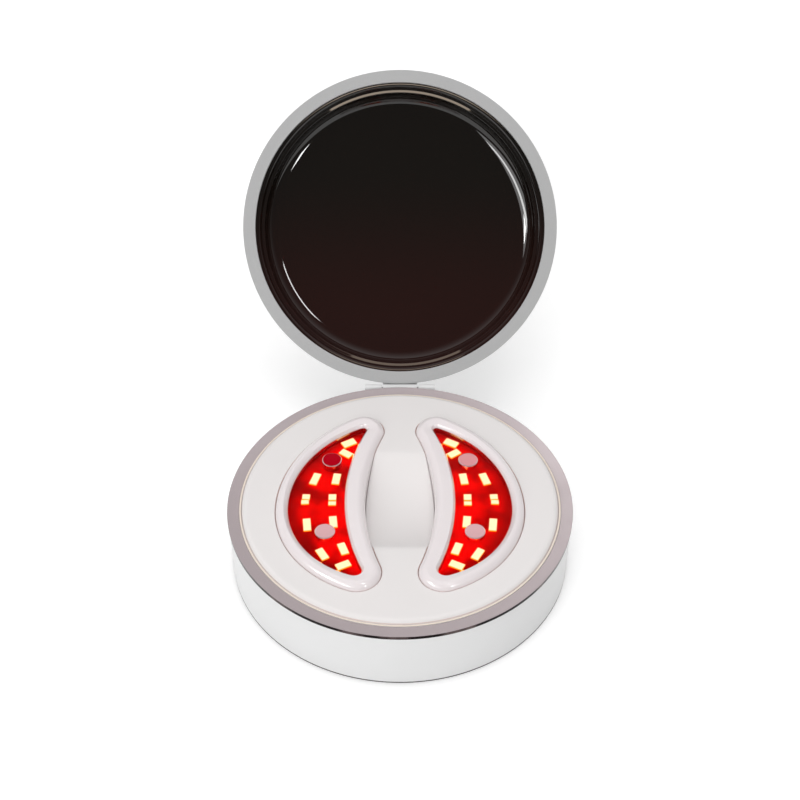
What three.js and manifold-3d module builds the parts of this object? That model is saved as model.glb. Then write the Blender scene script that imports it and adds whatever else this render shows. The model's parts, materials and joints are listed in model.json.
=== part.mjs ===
// A pair of crescent under-eye massagers with red light windows and pulse electrodes, lying in a round
// charging case whose lid stands open on a hinge at the back. Millimetres and degrees, +Z up, the front
// of the case towards -Y. The origin is the middle of the foot pad, on the table.
import * as THREE from 'three';
import { mergeVertices } from 'three/addons/utils/BufferGeometryUtils.js';
import Module from 'manifold-3d';

const wasm = await Module();
wasm.setup();

// Clearances
const touch = 0.1; // between pieces that are clamped or glued together
const slip = 0.3; // between pieces that drop into one another
const sink = 0.5; // how far a joined form reaches into the form that carries it
const mergeDistance = 1e-4;

// Facets round a full turn
const caseSides = 48;
const postSides = 8;
const roundSides = 18; // electrodes, buttons and their holes
const scoopSides = 60;

// Round case
const caseRadius = 45; // outside of both trim rings
const baseHeight = 18.6; // table to the top of the lower trim ring
const trimHeight = 1;
const trimProud = 0.3; // how far the trim rings stand out from the walls
const trimChamfer = 0.2;
const baseTrimWidth = 3.1;
const lidTrimWidth = 3.5;

// Base shell, a sleeve with a rim that carries the trim ring
const lipGap = 0.15;
const lipWidth = 0.55;
const lipRise = 0.15;
const rimDepth = 3;
const sleeveWall = 2.1;
const sleeveFillet = 0.6;
const sleeveRebate = 0.5;

// Bottom cover and foot pad
const coverThickness = 2;
const padThickness = 1;
const padRecess = 0.6;
const padRadius = 38;
const padChamfer = 0.3;

// Tray that shows inside the lower trim ring
const trayRise = 1; // top of the tray above the lower trim ring
const trayPlate = 1.6;
const traySkirt = 1.6;
const trayFlange = 1.4;
const trayFlangeHeight = 1.2;
const trayEdge = 1.5; // how far the rounded top edge reaches in
const trayEdgeHeight = 1.2;
const trayWall = 1.2;
const pocketGap = 0.3;
const pocketFloorThickness = 1.2;
const pocketChamfer = 0.25;

// Finger scoop between the pockets
const scoopDepth = 5;
const scoopHalfChord = 16.8;
const scoopHalfWidth = 10;
const scoopWall = 1.3;

// Screws that clamp the cover, the sleeve and the tray
const screwInset = 6.1; // from the sleeve's inner wall
const screwCount = 4;
const screwRadius = 1;
const screwLength = 7;
const screwHeadRadius = 1.9;
const screwHeadHeight = 1.2;
const screwWeb = 1.2;
const screwBossHeight = 1.4;
const screwBossWall = 1.7;

// Charging board, battery and socket in the base
const boardThickness = 1.2;
const boardHeight = 6;
const boardGap = 0.8; // between the board and the tray's screw bosses
const boardFront = 10;
const boardTongue = 18;
const boardPostRadius = 1.5;
const boardPosts = [[-25.5, 14], [25.5, 14], [-12, 29], [12, 29]];
const caseCell = [42, 30, 6];
const caseCellY = -17;
const socketSize = [8.94, 7.3, 3.26];
const socketSkin = 0.35;
const socketDepth = 6.2;
const socketTongue = [6.7, 4.6, 0.7];
const socketSetBack = 0.3;
const slotMargin = 0.3;
const boardChips = [
  { size: [5, 5, 0.9], at: [-7, 19] },
  { size: [6, 4, 1.6], at: [6, 18] },
  { size: [3, 3, 1.1], at: [-2, 28] },
];

// Magnet in the rim that pulls the steel trim ring of the lid
const latchMagnet = [12, 1.6, 1.4];
const latchWall = 0.6; // between the magnet and the rim's inner face

// Lid
const lidGap = 0.3; // between the two trim rings when the lid is shut
const lidHeight = 10.6;
const lidCrown = 0.7;
const lidWall = 1.4;
const lidFillet = 2.4;
const linerDepth = 7.9;
const linerWall = 1;
const linerLip = 2; // rounding of the dish's mouth; its floor edge takes the rest of the depth
const linerFlange = 1.3;
const openAngle = 131.88;

// Hinge
const hingeSetBack = 1.43; // pin behind the trim rings
const hingeDrop = 1.7; // pin below the top of the lower trim ring
const pinRadius = 0.5;
const pinGap = 0.1;
const barrelRadius = 1.2;
const lidKnuckleLength = 9.8;
const baseKnuckleLength = 4.8;
const knuckleSides = 14;
const stopCam = 1.55; // reach of the lid knuckle's stop, from the pin
const stopCamAngle = -22;
const armReach = 5.3; // root of the lid's hinge arm above the face of its trim ring
const armBack = 1.5; // where the arm's outer side starts to lean in, above that face
const gussetDrop = 5; // root of the base's knuckle below the pin

// Massager in plan, measured from the axis of the case, and its heights above its own back face
const bodyPlan = { outer: 32.3, inner: 9.1, belly: -3, tips: [[9.9, 25.6, 5.6], [10.7, -25.4, 6.2]] };
const windowPlan = { outer: 29, inner: 14.4, belly: -3, tips: [[10, 25.7, 0.9], [11.4, -25.1, 1.9]] };
const outerSteps = 7; // in each half, from the belly to a tip
const tipSteps = 5;
const innerSteps = 4;
const massagerCrest = 8.8;
const rimShoulder = 6.4; // where the rim starts to round over
const crestInset = 2.2; // crest of the rim in from the outline
const windowBevel = 0.6; // width of the slope from the crest's level to the window
const windowBevelTop = 8.45;
const massagerSunk = 6.2; // back face below the top of the lower trim ring
const partingHeight = 5;
const shellWall = 1.4;
const shellFloor = 1.1;
const shellLedge = 1;
const backRound = 2.4;
const windowHeight = 7.7;
const lensThickness = 1.1;
const lensChamfer = 0.3;
const lensGap = 0.15; // glue line round the lens and the electrodes
const ledBoardTop = 5.5;
const ledBoardThickness = 0.8;
const ledHeight = 0.4;
const electrodeRadius = 2.6;
const electrodeProud = 0.2;
const electrodeEdge = 0.3;
const electrodes = { upper: [18.2, 13.9], lower: [19.1, -12.1] };
const leds = [
  { at: [13.9, 22], size: [3.8, 2.4], turn: -30 },
  { at: [14.6, 18], size: [3.4, 2.1], turn: 33 },
  { at: [16.9, 8], size: [2.1, 4], turn: 8 },
  { at: [22.5, 8], size: [2.1, 4.4], turn: 17 },
  { at: [17.7, 1.2], size: [2, 1.9], turn: 0 },
  { at: [17.7, -1.2], size: [2, 1.9], turn: 0 },
  { at: [24.6, 1.2], size: [2, 1.9], turn: 3 },
  { at: [24.8, -1.2], size: [2, 1.9], turn: -3 },
  { at: [17.2, -7.6], size: [2.1, 4], turn: -6 },
  { at: [23.9, -8.7], size: [2.1, 4.4], turn: -6 },
  { at: [14.4, -16.8], size: [2.1, 4], turn: -20 },
  { at: [19.6, -18.6], size: [2.1, 4], turn: -30 },
  { at: [14.2, -22.2], size: [3.8, 2.2], turn: -27 },
];

// Inside a massager
const cell = { length: 22, height: 2.6, fromInner: 4, fromOuter: 6.2 }; // its sides in from the outline
const pulseBoardHeight = 3.3;
const pulseBoardEdge = -13;
const pulseBoardInset = 3.2;
const pulsePosts = [[9.4, -24.6], [21, -15.4]];
const pulsePostRadius = 0.9;
const magnetAt = [13.6, 21.6];
const magnetRadius = 2.5;
const magnetHeight = 1.4;
const magnetCupWall = 0.7;
const contacts = { inner: [14.5, 15.2], outer: [20.5, 15.2] };
const contactRadius = 1.4;
const contactStem = 0.7;
const studRadius = 0.9;

// Mode button in the back of a massager
const buttonAt = [14.8, -19];
const buttonRadius = 2.8;
const buttonFlange = 0.6;
const buttonFlangeHeight = 0.6;
const buttonRecess = 0.2;
const buttonRest = 0.2; // between the flange and the floor that stops it
const buttonTravel = 0.4;
const buttonNub = 0.9;
const buttonNubHeight = 0.4;
const switchRadius = 1.9;

// Heights and radii that follow
const wallRadius = caseRadius - trimProud;
const seatHeight = baseHeight - trimHeight;
const rimUnderside = baseHeight - rimDepth;
const lipOuter = caseRadius - baseTrimWidth - lipGap;
const lipInner = lipOuter - lipWidth;
const sleeveInner = wallRadius - sleeveWall;
const screwCircle = sleeveInner - screwInset;
const boardRadius = screwCircle - screwRadius - screwBossWall - boardGap;
const latchRadius = lipInner + latchWall + latchMagnet[1] / 2;
const coverBottom = padThickness - padRecess;
const coverTop = coverBottom + coverThickness;
const trayTop = baseHeight + trayRise;
const trayRadius = lipInner - slip;
const massagerBottom = baseHeight - massagerSunk;
const pocketFloor = massagerBottom - slip;
const tubBottom = pocketFloor - pocketFloorThickness;
const screwBossTop = coverTop + screwBossHeight;
const boardTop = boardHeight + boardThickness;
const hingeY = caseRadius + hingeSetBack;
const hingeZ = baseHeight - hingeDrop;
const knuckleHole = pinRadius + pinGap;

// One closed surface: shared corners merged, empty triangles dropped, faces pointing out
function closed(geometry) {
  const bare = new THREE.BufferGeometry();
  bare.setAttribute('position', geometry.getAttribute('position'));
  bare.setIndex(geometry.getIndex());
  const merged = mergeVertices(bare, mergeDistance);
  const points = merged.getAttribute('position');
  const corners = Array.from(merged.getIndex().array);
  const faces = [];
  let volume = 0;
  for (let i = 0; i < corners.length; i += 3) {
    const [a, b, c] = corners.slice(i, i + 3);
    if (a === b || b === c || c === a) continue;
    faces.push([a, b, c]);
    const [p, q, r] = [a, b, c].map((k) => new THREE.Vector3().fromBufferAttribute(points, k));
    volume += p.dot(q.cross(r));
  }
  merged.setIndex(faces.flatMap(([a, b, c]) => (volume < 0 ? [a, c, b] : [a, b, c])));
  return merged;
}

function solid(geometry) {
  const shell = closed(geometry);
  const vertProperties = new Float32Array(shell.getAttribute('position').array);
  const triVerts = new Uint32Array(shell.getIndex().array);
  return new wasm.Manifold(new wasm.Mesh({ numProp: 3, vertProperties, triVerts }));
}

function geometryOf(body) {
  const mesh = body.getMesh();
  const geometry = new THREE.BufferGeometry();
  geometry.setAttribute('position', new THREE.BufferAttribute(mesh.vertProperties, 3));
  geometry.setIndex(new THREE.BufferAttribute(mesh.triVerts, 1));
  return geometry;
}

const joined = (first, ...others) => others.reduce((body, other) => body.add(other), first);
const cut = (first, ...others) => others.reduce((body, other) => body.subtract(other), first);

// Cosine and sine from 0 to 90 degrees, for edges rounded in equal steps
const quarter = (steps) => Array.from({ length: steps + 1 }, (_, i) => {
  const angle = i / steps * Math.PI / 2;
  return [Math.cos(angle), Math.sin(angle)];
});

// A corner rounded from its side to its end face; a negative height rounds one that faces down
const rounded = ([r, z], reach, height, steps) => quarter(steps)
  .map(([c, s]) => [r - reach * (1 - c), z - height * (1 - s)]);

// A profile of [radius, height] points turned about the Z axis
function turned(profile, sides = caseSides) {
  const points = profile.map(([r, z]) => new THREE.Vector2(r, z));
  if (profile[0][0] > 0) points.push(points[0].clone());
  return solid(new THREE.LatheGeometry(points, sides).rotateX(Math.PI / 2));
}

// An upright post or bore from one height to another
function post(radius, low, high, [x, y] = [0, 0], sides = postSides) {
  const geometry = new THREE.CylinderGeometry(radius, radius, high - low, sides).rotateX(Math.PI / 2);
  return solid(geometry.translate(x, y, (low + high) / 2));
}

// A bar or bore along X
function bar(radius, length, [x, y, z], sides = knuckleSides) {
  const geometry = new THREE.CylinderGeometry(radius, radius, length, sides).rotateZ(Math.PI / 2);
  return solid(geometry.translate(x, y, z));
}

function block([width, depth, height], [x, y, low], turn = 0) {
  const geometry = new THREE.BoxGeometry(width, depth, height).rotateZ(THREE.MathUtils.degToRad(turn));
  return solid(geometry.translate(x, y, low + height / 2));
}

// A section of [y, z] points drawn out along X, centred on x
function drawnAlongX(section, length, x) {
  const shape = new THREE.Shape(section.map(([y, z]) => new THREE.Vector2(y, z)));
  const geometry = new THREE.ExtrudeGeometry(shape, { depth: length, bevelEnabled: false });
  geometry.applyMatrix4(new THREE.Matrix4().makeBasis(
    new THREE.Vector3(0, 1, 0), new THREE.Vector3(0, 0, 1), new THREE.Vector3(1, 0, 0)));
  return solid(geometry.translate(x - length / 2, 0, 0));
}

// A slot with round ends, its section in X and Z, drawn out along Y from front to back
function slot(width, height, front, back, z) {
  const shape = new THREE.Shape();
  const reach = (width - height) / 2;
  shape.absarc(reach, 0, height / 2, -Math.PI / 2, Math.PI / 2, false);
  shape.absarc(-reach, 0, height / 2, Math.PI / 2, Math.PI * 1.5, false);
  const options = { depth: back - front, bevelEnabled: false, curveSegments: 5 };
  const geometry = new THREE.ExtrudeGeometry(shape, options).rotateX(Math.PI / 2);
  return solid(geometry.translate(0, back, z));
}

// Points of an arc, without its last one
function arc([x, y], radius, from, to, steps) {
  return Array.from({ length: steps }, (_, i) => {
    const angle = from + (to - from) * i / steps;
    return new THREE.Vector2(x + radius * Math.cos(angle), y + radius * Math.sin(angle));
  });
}

// Half a crescent moved in by inset, from its belly round a tip to the middle of its inner edge
function halfCrescent({ outer, inner, belly }, [x, y, tip], inset) {
  const outerRadius = ((outer - x) ** 2 + (y - belly) ** 2 - tip ** 2) / (2 * (outer - x - tip));
  const innerRadius = ((x - inner) ** 2 + y ** 2 - tip ** 2) / (2 * (tip - x + inner));
  const outerEnd = Math.atan2(y - belly, x - outer + outerRadius);
  const innerEnd = Math.atan2(y, x - inner + innerRadius);
  const turn = Math.sign(y) * Math.PI;
  return [
    ...arc([outer - outerRadius, belly], outerRadius - inset, 0, outerEnd, outerSteps),
    ...arc([x, y], tip - inset, outerEnd, innerEnd + turn, tipSteps),
    ...arc([inner - innerRadius, 0], innerRadius + inset, innerEnd, 0, innerSteps),
  ];
}

// A crescent outline moved in by inset, its arcs tangent where they meet
function crescent(plan, inset = 0) {
  const [upper, lower] = plan.tips.map((tip) => halfCrescent(plan, tip, inset));
  return [...upper, new THREE.Vector2(plan.inner + inset, 0), ...lower.slice(1).reverse()];
}

// Rows of [outline, height] joined one to the next, with flat ends or as a ring that closes on itself
function lofted(rows, ring = false) {
  const count = rows[0][0].length;
  const positions = rows.flatMap(([outline, z]) => outline.flatMap((p) => [p.x, p.y, z]));
  const faces = [];
  const last = ring ? rows.length : rows.length - 1;
  for (let i = 0; i < last; i += 1) {
    const low = i * count;
    const high = ((i + 1) % rows.length) * count;
    for (let k = 0; k < count; k += 1) {
      const next = (k + 1) % count;
      faces.push(low + k, low + next, high + next, low + k, high + next, high + k);
    }
  }
  if (!ring) {
    const ends = THREE.ShapeUtils.triangulateShape(rows[0][0], []);
    const top = (rows.length - 1) * count;
    ends.forEach(([a, b, c]) => faces.push(a, c, b));
    THREE.ShapeUtils.triangulateShape(rows.at(-1)[0], [])
      .forEach(([a, b, c]) => faces.push(top + a, top + b, top + c));
  }
  const geometry = new THREE.BufferGeometry();
  geometry.setAttribute('position', new THREE.Float32BufferAttribute(positions, 3));
  geometry.setIndex(faces);
  return solid(geometry);
}

const bodyRow = (inset, z) => [crescent(bodyPlan, inset), z];
const windowRow = (inset, z) => [crescent(windowPlan, inset), z];

function mirrored(body) {
  const geometry = geometryOf(body);
  return solid(geometry.applyMatrix4(new THREE.Matrix4().makeScale(-1, 1, 1)));
}

const sided = (body, side) => (side === 'left' ? mirrored(body) : body);

// Finishes
const finish = (color, roughness, metalness = 0) => ({ color, roughness, metalness });
const whiteShell = finish('#e6e1e1', 0.25);
const whiteTray = finish('#e6e0df', 0.45);
const plated = finish('#b9b3b4', 0.22, 1);
const glossBlack = finish('#140e0d', 0.06);
const redLens = finish('#e00004', 0.08);
const polished = finish('#e2b4b2', 0.1, 1);
const greenBoard = finish('#1c5a3a', 0.5);
const ledGlow = finish('#f23a2c', 0.4);
const foil = finish('#c9ccd0', 0.35, 0.7);
const nickel = finish('#c2c2c4', 0.3, 1);
const gold = finish('#d8b35a', 0.25, 1);
const greyRubber = finish('#b9b7b6', 0.85);
const softGrey = finish('#cfcaca', 0.6);

function piece(name, body, look) {
  const geometry = geometryOf(body);
  geometry.computeVertexNormals();
  const mesh = new THREE.Mesh(geometry, new THREE.MeshStandardMaterial({ ...look, flatShading: true }));
  mesh.name = name;
  return mesh;
}

// Base shell: sleeve, rim with a seat for the trim ring, two hinge knuckles, socket slot, magnet pocket
function baseShell() {
  const sleeve = turned([
    [sleeveInner + sleeveRebate, coverBottom],
    ...rounded([wallRadius, coverBottom], sleeveFillet, -sleeveFillet, 2).reverse(),
    [wallRadius, seatHeight],
    [lipOuter, seatHeight],
    [lipOuter, baseHeight + lipRise],
    [lipInner, baseHeight + lipRise],
    [lipInner, rimUnderside],
    [sleeveInner, rimUnderside],
    [sleeveInner, coverTop],
    [sleeveInner + sleeveRebate, coverTop],
  ]);
  const knuckleX = (lidKnuckleLength + baseKnuckleLength) / 2 + slip;
  const gussetRoot = Math.sqrt(wallRadius ** 2 - (knuckleX + baseKnuckleLength / 2) ** 2) - sink;
  const tangent = barrelRadius * Math.SQRT1_2;
  const gusset = [
    [gussetRoot, seatHeight - slip],
    [hingeY, seatHeight - slip],
    [hingeY + tangent, hingeZ - tangent],
    [gussetRoot, hingeZ - gussetDrop],
  ];
  const knuckles = [-knuckleX, knuckleX].flatMap((x) => [
    bar(barrelRadius, baseKnuckleLength, [x, hingeY, hingeZ]),
    drawnAlongX(gusset, baseKnuckleLength, x),
  ]);
  const pinBore = bar(knuckleHole, 2 * (knuckleX + baseKnuckleLength), [0, hingeY, hingeZ]);
  const socketZ = boardTop + socketSize[2] / 2;
  const socketSlot = slot(socketSize[0] + 2 * slotMargin, socketSize[2] + 2 * slotMargin,
    sleeveInner - sleeveWall, wallRadius + sleeveWall, socketZ);
  const magnetPocket = block(
    [latchMagnet[0] + 2 * touch, latchMagnet[1] + 2 * touch, latchMagnet[2] + touch + sink],
    [0, -latchRadius, rimUnderside - sink]);
  return cut(joined(sleeve, ...knuckles), pinBore, socketSlot, magnetPocket);
}

// A flat ring with its outer edge broken, its face at one height and its back at another
function trimRing(width, face, back) {
  const inner = caseRadius - width;
  const edge = Math.sign(back - face) * trimChamfer;
  return turned([
    [inner, back],
    [caseRadius, back],
    [caseRadius, face + edge],
    [caseRadius - trimChamfer, face],
    [inner, face],
  ]);
}

const screwPlaces = Array.from({ length: screwCount }, (_, i) => {
  const angle = (i + 0.5) * 2 * Math.PI / screwCount;
  return [screwCircle * Math.cos(angle), screwCircle * Math.sin(angle)];
});

const atScrews = (radius, low, high) => screwPlaces.map((at) => post(radius, low, high, at));

const sides = ['left', 'right'];
const flip = ([x, y], side) => [side === 'left' ? -x : x, y];
const cupLow = tubBottom - touch - magnetHeight;

// Tray: thin plate and skirt, two crescent tubs, the scoop's trough, screw bosses and magnet cups
function innerTray() {
  const plateUnder = trayTop - trayPlate;
  const skirtInner = trayRadius - traySkirt;
  const plate = turned([
    [0, plateUnder],
    [skirtInner, plateUnder],
    [skirtInner, rimUnderside - trayFlangeHeight],
    [trayRadius + trayFlange, rimUnderside - trayFlangeHeight],
    [trayRadius + trayFlange, rimUnderside - touch],
    [trayRadius, rimUnderside - touch],
    ...rounded([trayRadius, trayTop], trayEdge, trayEdgeHeight, 3),
    [0, trayTop],
  ]);
  const tubRow = (z) => bodyRow(-pocketGap - trayWall, z);
  const tub = lofted([tubRow(tubBottom), tubRow(plateUnder + sink)]);
  const pocket = lofted([
    bodyRow(-pocketGap, pocketFloor),
    bodyRow(-pocketGap, trayTop - pocketChamfer),
    bodyRow(-pocketGap - pocketChamfer, trayTop),
    bodyRow(-pocketGap - pocketChamfer, trayTop + sink),
  ]);
  const scoopRadius = (scoopHalfChord ** 2 + scoopDepth ** 2) / (2 * scoopDepth);
  const scoopZ = trayTop - scoopDepth + scoopRadius;
  const scoop = bar(scoopRadius, 2 * scoopHalfWidth, [0, 0, scoopZ], scoopSides);
  const troughWidth = 2 * (bodyPlan.inner - pocketGap);
  const trough = bar(scoopRadius + scoopWall, troughWidth, [0, 0, scoopZ], scoopSides)
    .intersect(block([troughWidth, 2 * caseRadius, baseHeight], [0, 0, plateUnder + sink - baseHeight]));
  const bosses = atScrews(screwRadius + screwBossWall, screwBossTop, plateUnder + sink);
  const pilots = atScrews(screwRadius + touch, screwBossTop - sink, screwBossTop + screwLength);
  const atMagnets = (radius, low, high) => sides.map((side) => post(radius, low, high, flip(magnetAt, side)));
  const cups = atMagnets(magnetRadius + touch + magnetCupWall, cupLow, tubBottom + sink);
  const cupBores = atMagnets(magnetRadius + touch, cupLow - sink, tubBottom);
  const studHoles = sides.flatMap((side) => Object.values(contacts)
    .map((at) => post(studRadius + slip, tubBottom - sink, pocketFloor + sink, flip(at, side))));
  return cut(
    joined(plate, tub, mirrored(tub), trough, ...bosses, ...cups),
    pocket, mirrored(pocket), scoop, ...pilots, ...cupBores, ...studHoles);
}

function bottomCover() {
  const coverRadius = sleeveInner + sleeveRebate - slip;
  const disc = turned([
    [0, padThickness],
    [padRadius + slip, padThickness],
    [padRadius + slip, coverBottom],
    [coverRadius, coverBottom],
    [coverRadius, coverTop],
    [0, coverTop],
  ]);
  const bosses = atScrews(screwHeadRadius + screwBossWall, coverTop - sink, screwBossTop);
  const posts = boardPosts.map((at) => post(boardPostRadius, coverTop - sink, boardHeight, at));
  const seats = atScrews(screwHeadRadius + touch, coverBottom, screwBossTop - screwWeb);
  const holes = atScrews(screwRadius + touch, coverBottom, screwBossTop + sink);
  return cut(joined(disc, ...bosses, ...posts), ...seats, ...holes);
}

function footPad() {
  return turned([
    [0, 0],
    [padRadius - padChamfer, 0],
    [padRadius, padChamfer],
    [padRadius, padThickness - touch],
    [0, padThickness - touch],
  ]);
}

function screw(at) {
  const headTop = screwBossTop - screwWeb - touch;
  return joined(
    post(screwHeadRadius, headTop - screwHeadHeight, headTop, at),
    post(screwRadius, headTop - sink, screwBossTop + screwLength - slip, at));
}

function chargingBoard() {
  const half = block(
    [2 * boardRadius, boardRadius, boardThickness], [0, boardFront + boardRadius / 2, boardHeight]);
  const outline = post(boardRadius, boardHeight, boardTop, [0, 0], caseSides).intersect(half);
  const tongueBack = Math.sqrt(sleeveInner ** 2 - (boardTongue / 2) ** 2) - slip;
  const tongueDepth = tongueBack - boardFront - sink;
  const tongue = block([boardTongue, tongueDepth, boardThickness],
    [0, tongueBack - tongueDepth / 2, boardHeight]);
  const chips = boardChips.map(({ size: [width, depth, height], at: [x, y] }) => block(
    [width, depth, height + sink], [x, y, boardTop - sink]));
  return joined(outline, tongue, ...chips);
}

function usbSocket() {
  const [width, depth, height] = socketSize;
  const mouth = wallRadius - socketSetBack;
  const z = boardTop + height / 2;
  const can = slot(width, height, mouth - depth, mouth, z);
  const hollow = slot(width - 2 * socketSkin, height - 2 * socketSkin, mouth - socketDepth, mouth + sink, z);
  const [tongueWidth, tongueReach, tongueHeight] = socketTongue;
  const tongue = block([tongueWidth, tongueReach + sink, tongueHeight],
    [0, mouth - socketDepth + (tongueReach - sink) / 2, z - tongueHeight / 2]);
  return joined(cut(can, hollow), tongue);
}

// Gold stud from the charging board through the pocket's floor, just short of the massager's contact
const pocketStud = (at) => post(studRadius, boardTop, massagerBottom - touch, at);

// Lid pieces are drawn shut, heights above the face of the lid's trim ring
function lidLiner() {
  const mouth = caseRadius - lidTrimWidth;
  const front = trimHeight + touch;
  const middle = front + linerLip;
  const round = linerDepth - middle;
  const floor = mouth - linerLip - round;
  const curve = (wall, lipSteps, roundSteps) => [
    ...quarter(lipSteps).map(([c, s]) => [mouth - (linerLip - wall) * s, middle - (linerLip - wall) * c]),
    ...quarter(roundSteps).slice(1).map(([c, s]) => [floor + (round + wall) * c, middle + (round + wall) * s]),
  ];
  return turned([
    ...curve(0, 2, 4),
    [0, linerDepth],
    [0, linerDepth + linerWall],
    ...curve(linerWall, 1, 3).reverse(),
    [mouth + linerFlange, front + linerWall],
    [mouth + linerFlange, front],
  ]);
}

function lidShell() {
  const inner = wallRadius - lidWall;
  const backZ = linerDepth + linerWall + slip;
  const crown = [0.6, 0.3, 0].map((share) => [wallRadius * share, lidHeight + lidCrown * (1 - share ** 2)]);
  const cap = turned([
    [inner, trimHeight + touch],
    [wallRadius, trimHeight + touch],
    ...rounded([wallRadius, lidHeight], lidFillet, lidFillet, 3),
    ...crown,
    [0, backZ],
    [inner - lidWall, backZ],
    [inner, backZ - lidWall],
  ]);
  const pinZ = hingeZ - baseHeight - lidGap;
  const armFront = caseRadius + slip;
  const armFoot = trimHeight + slip;
  const armInside = wallRadius - lidWall / 2;
  const camAngle = THREE.MathUtils.degToRad(stopCamAngle);
  const cam = [hingeY + stopCam * Math.cos(camAngle), pinZ + stopCam * Math.sin(camAngle)];
  const arm = [
    [armFront, pinZ],
    [cam[0] - barrelRadius, cam[1] - barrelRadius / 2],
    cam,
    [hingeY + barrelRadius, pinZ + barrelRadius],
    [hingeY + barrelRadius, armBack],
    [wallRadius, armReach + lidFillet],
    [armInside, armReach + lidFillet],
    [armInside, armFoot],
    [armFront, armFoot],
  ];
  const knuckle = bar(barrelRadius, lidKnuckleLength, [0, hingeY, pinZ]);
  const bore = bar(knuckleHole, 2 * lidKnuckleLength, [0, hingeY, pinZ]);
  return cut(joined(cap, drawnAlongX(arm, lidKnuckleLength, 0), knuckle), bore);
}

// Massager pieces, drawn for the right side
function faceFrame() {
  const rimHeight = massagerCrest - rimShoulder;
  return lofted([
    bodyRow(0, partingHeight),
    ...quarter(3).map(([c, s]) => bodyRow(crestInset * (1 - c), rimShoulder + rimHeight * s)),
    windowRow(-windowBevel, windowBevelTop),
    windowRow(0, windowHeight),
    windowRow(0, ledBoardTop),
    bodyRow(shellWall, ledBoardTop),
    bodyRow(shellWall, partingHeight),
  ], true);
}

function windowLens() {
  const low = windowHeight - lensThickness;
  const lens = lofted([
    windowRow(lensGap, low),
    windowRow(lensGap, windowHeight - lensChamfer),
    windowRow(lensGap + lensChamfer, windowHeight),
  ]);
  const holes = Object.values(electrodes)
    .map((at) => post(electrodeRadius + lensGap, low - sink, windowHeight + sink, at, roundSides));
  return cut(lens, ...holes);
}

function electrode([x, y]) {
  const top = windowHeight + electrodeProud;
  const pillar = new THREE.LatheGeometry([
    new THREE.Vector2(0, ledBoardTop),
    new THREE.Vector2(electrodeRadius, ledBoardTop),
    new THREE.Vector2(electrodeRadius, top - electrodeEdge),
    new THREE.Vector2(electrodeRadius - electrodeEdge, top),
    new THREE.Vector2(0, top),
  ], roundSides).rotateX(Math.PI / 2);
  return solid(pillar.translate(x, y, 0));
}

function ledBoard() {
  const edge = shellWall + slip;
  const board = lofted([bodyRow(edge, ledBoardTop - ledBoardThickness), bodyRow(edge, ledBoardTop)]);
  const chips = leds.map(({ at: [x, y], size: [width, length], turn }) => block(
    [width, length, ledHeight + ledBoardThickness / 2], [x, y, ledBoardTop - ledBoardThickness / 2], turn));
  return joined(board, ...chips);
}

function backShell() {
  const boardSeat = ledBoardTop - ledBoardThickness;
  const inner = shellWall + shellLedge;
  const tub = lofted([
    ...quarter(3).map(([c, s]) => bodyRow(backRound * (1 - s), backRound * (1 - c))),
    bodyRow(0, partingHeight),
    bodyRow(shellWall, partingHeight),
    bodyRow(shellWall, boardSeat),
    bodyRow(inner, boardSeat),
    bodyRow(inner + shellLedge / 2, shellFloor),
  ]);
  const cupTop = shellFloor + magnetHeight;
  const cup = post(magnetRadius + touch + magnetCupWall, shellFloor - sink, cupTop, magnetAt);
  const cupBore = post(magnetRadius + touch, shellFloor, cupTop + sink, magnetAt);
  const posts = pulsePosts.map((at) => post(pulsePostRadius, shellFloor - sink, pulseBoardHeight, at));
  const contactHoles = Object.values(contacts)
    .map((at) => post(contactRadius + touch, -sink, shellFloor + sink, at));
  const buttonHole = post(buttonRadius + slip, -sink, shellFloor + sink, buttonAt, roundSides);
  return cut(joined(tub, cup, ...posts), cupBore, ...contactHoles, buttonHole);
}

function massagerCell() {
  const near = bodyPlan.inner + cell.fromInner;
  const far = bodyPlan.outer - cell.fromOuter;
  return block([far - near, cell.length, cell.height], [(near + far) / 2, 0, shellFloor + touch]);
}

function pulseBoard() {
  const top = pulseBoardHeight + ledBoardThickness;
  const outline = lofted([bodyRow(pulseBoardInset, pulseBoardHeight), bodyRow(pulseBoardInset, top)]);
  const reach = bodyPlan.outer;
  const area = block([2 * reach, reach, 2 * top], [0, pulseBoardEdge - reach / 2, 0]);
  const switchLow = shellFloor + buttonRest + buttonFlangeHeight + buttonNubHeight + buttonTravel + touch;
  return joined(outline.intersect(area), post(switchRadius, switchLow, pulseBoardHeight + touch, buttonAt));
}

const massagerMagnet = () => post(magnetRadius, shellFloor + touch, shellFloor + magnetHeight, magnetAt);

function chargeContact(at) {
  return joined(
    post(contactRadius, 0, shellFloor, at),
    post(contactStem, shellFloor - sink, ledBoardTop - ledBoardThickness, at));
}

function modeButton() {
  const flangeLow = shellFloor + buttonRest;
  const flangeTop = flangeLow + buttonFlangeHeight;
  return joined(
    post(buttonRadius, buttonRecess, flangeTop, buttonAt, roundSides),
    post(buttonRadius + buttonFlange, flangeLow, flangeTop, buttonAt, roundSides),
    post(buttonNub, flangeTop - sink, flangeTop + buttonNubHeight, buttonAt));
}

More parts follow.
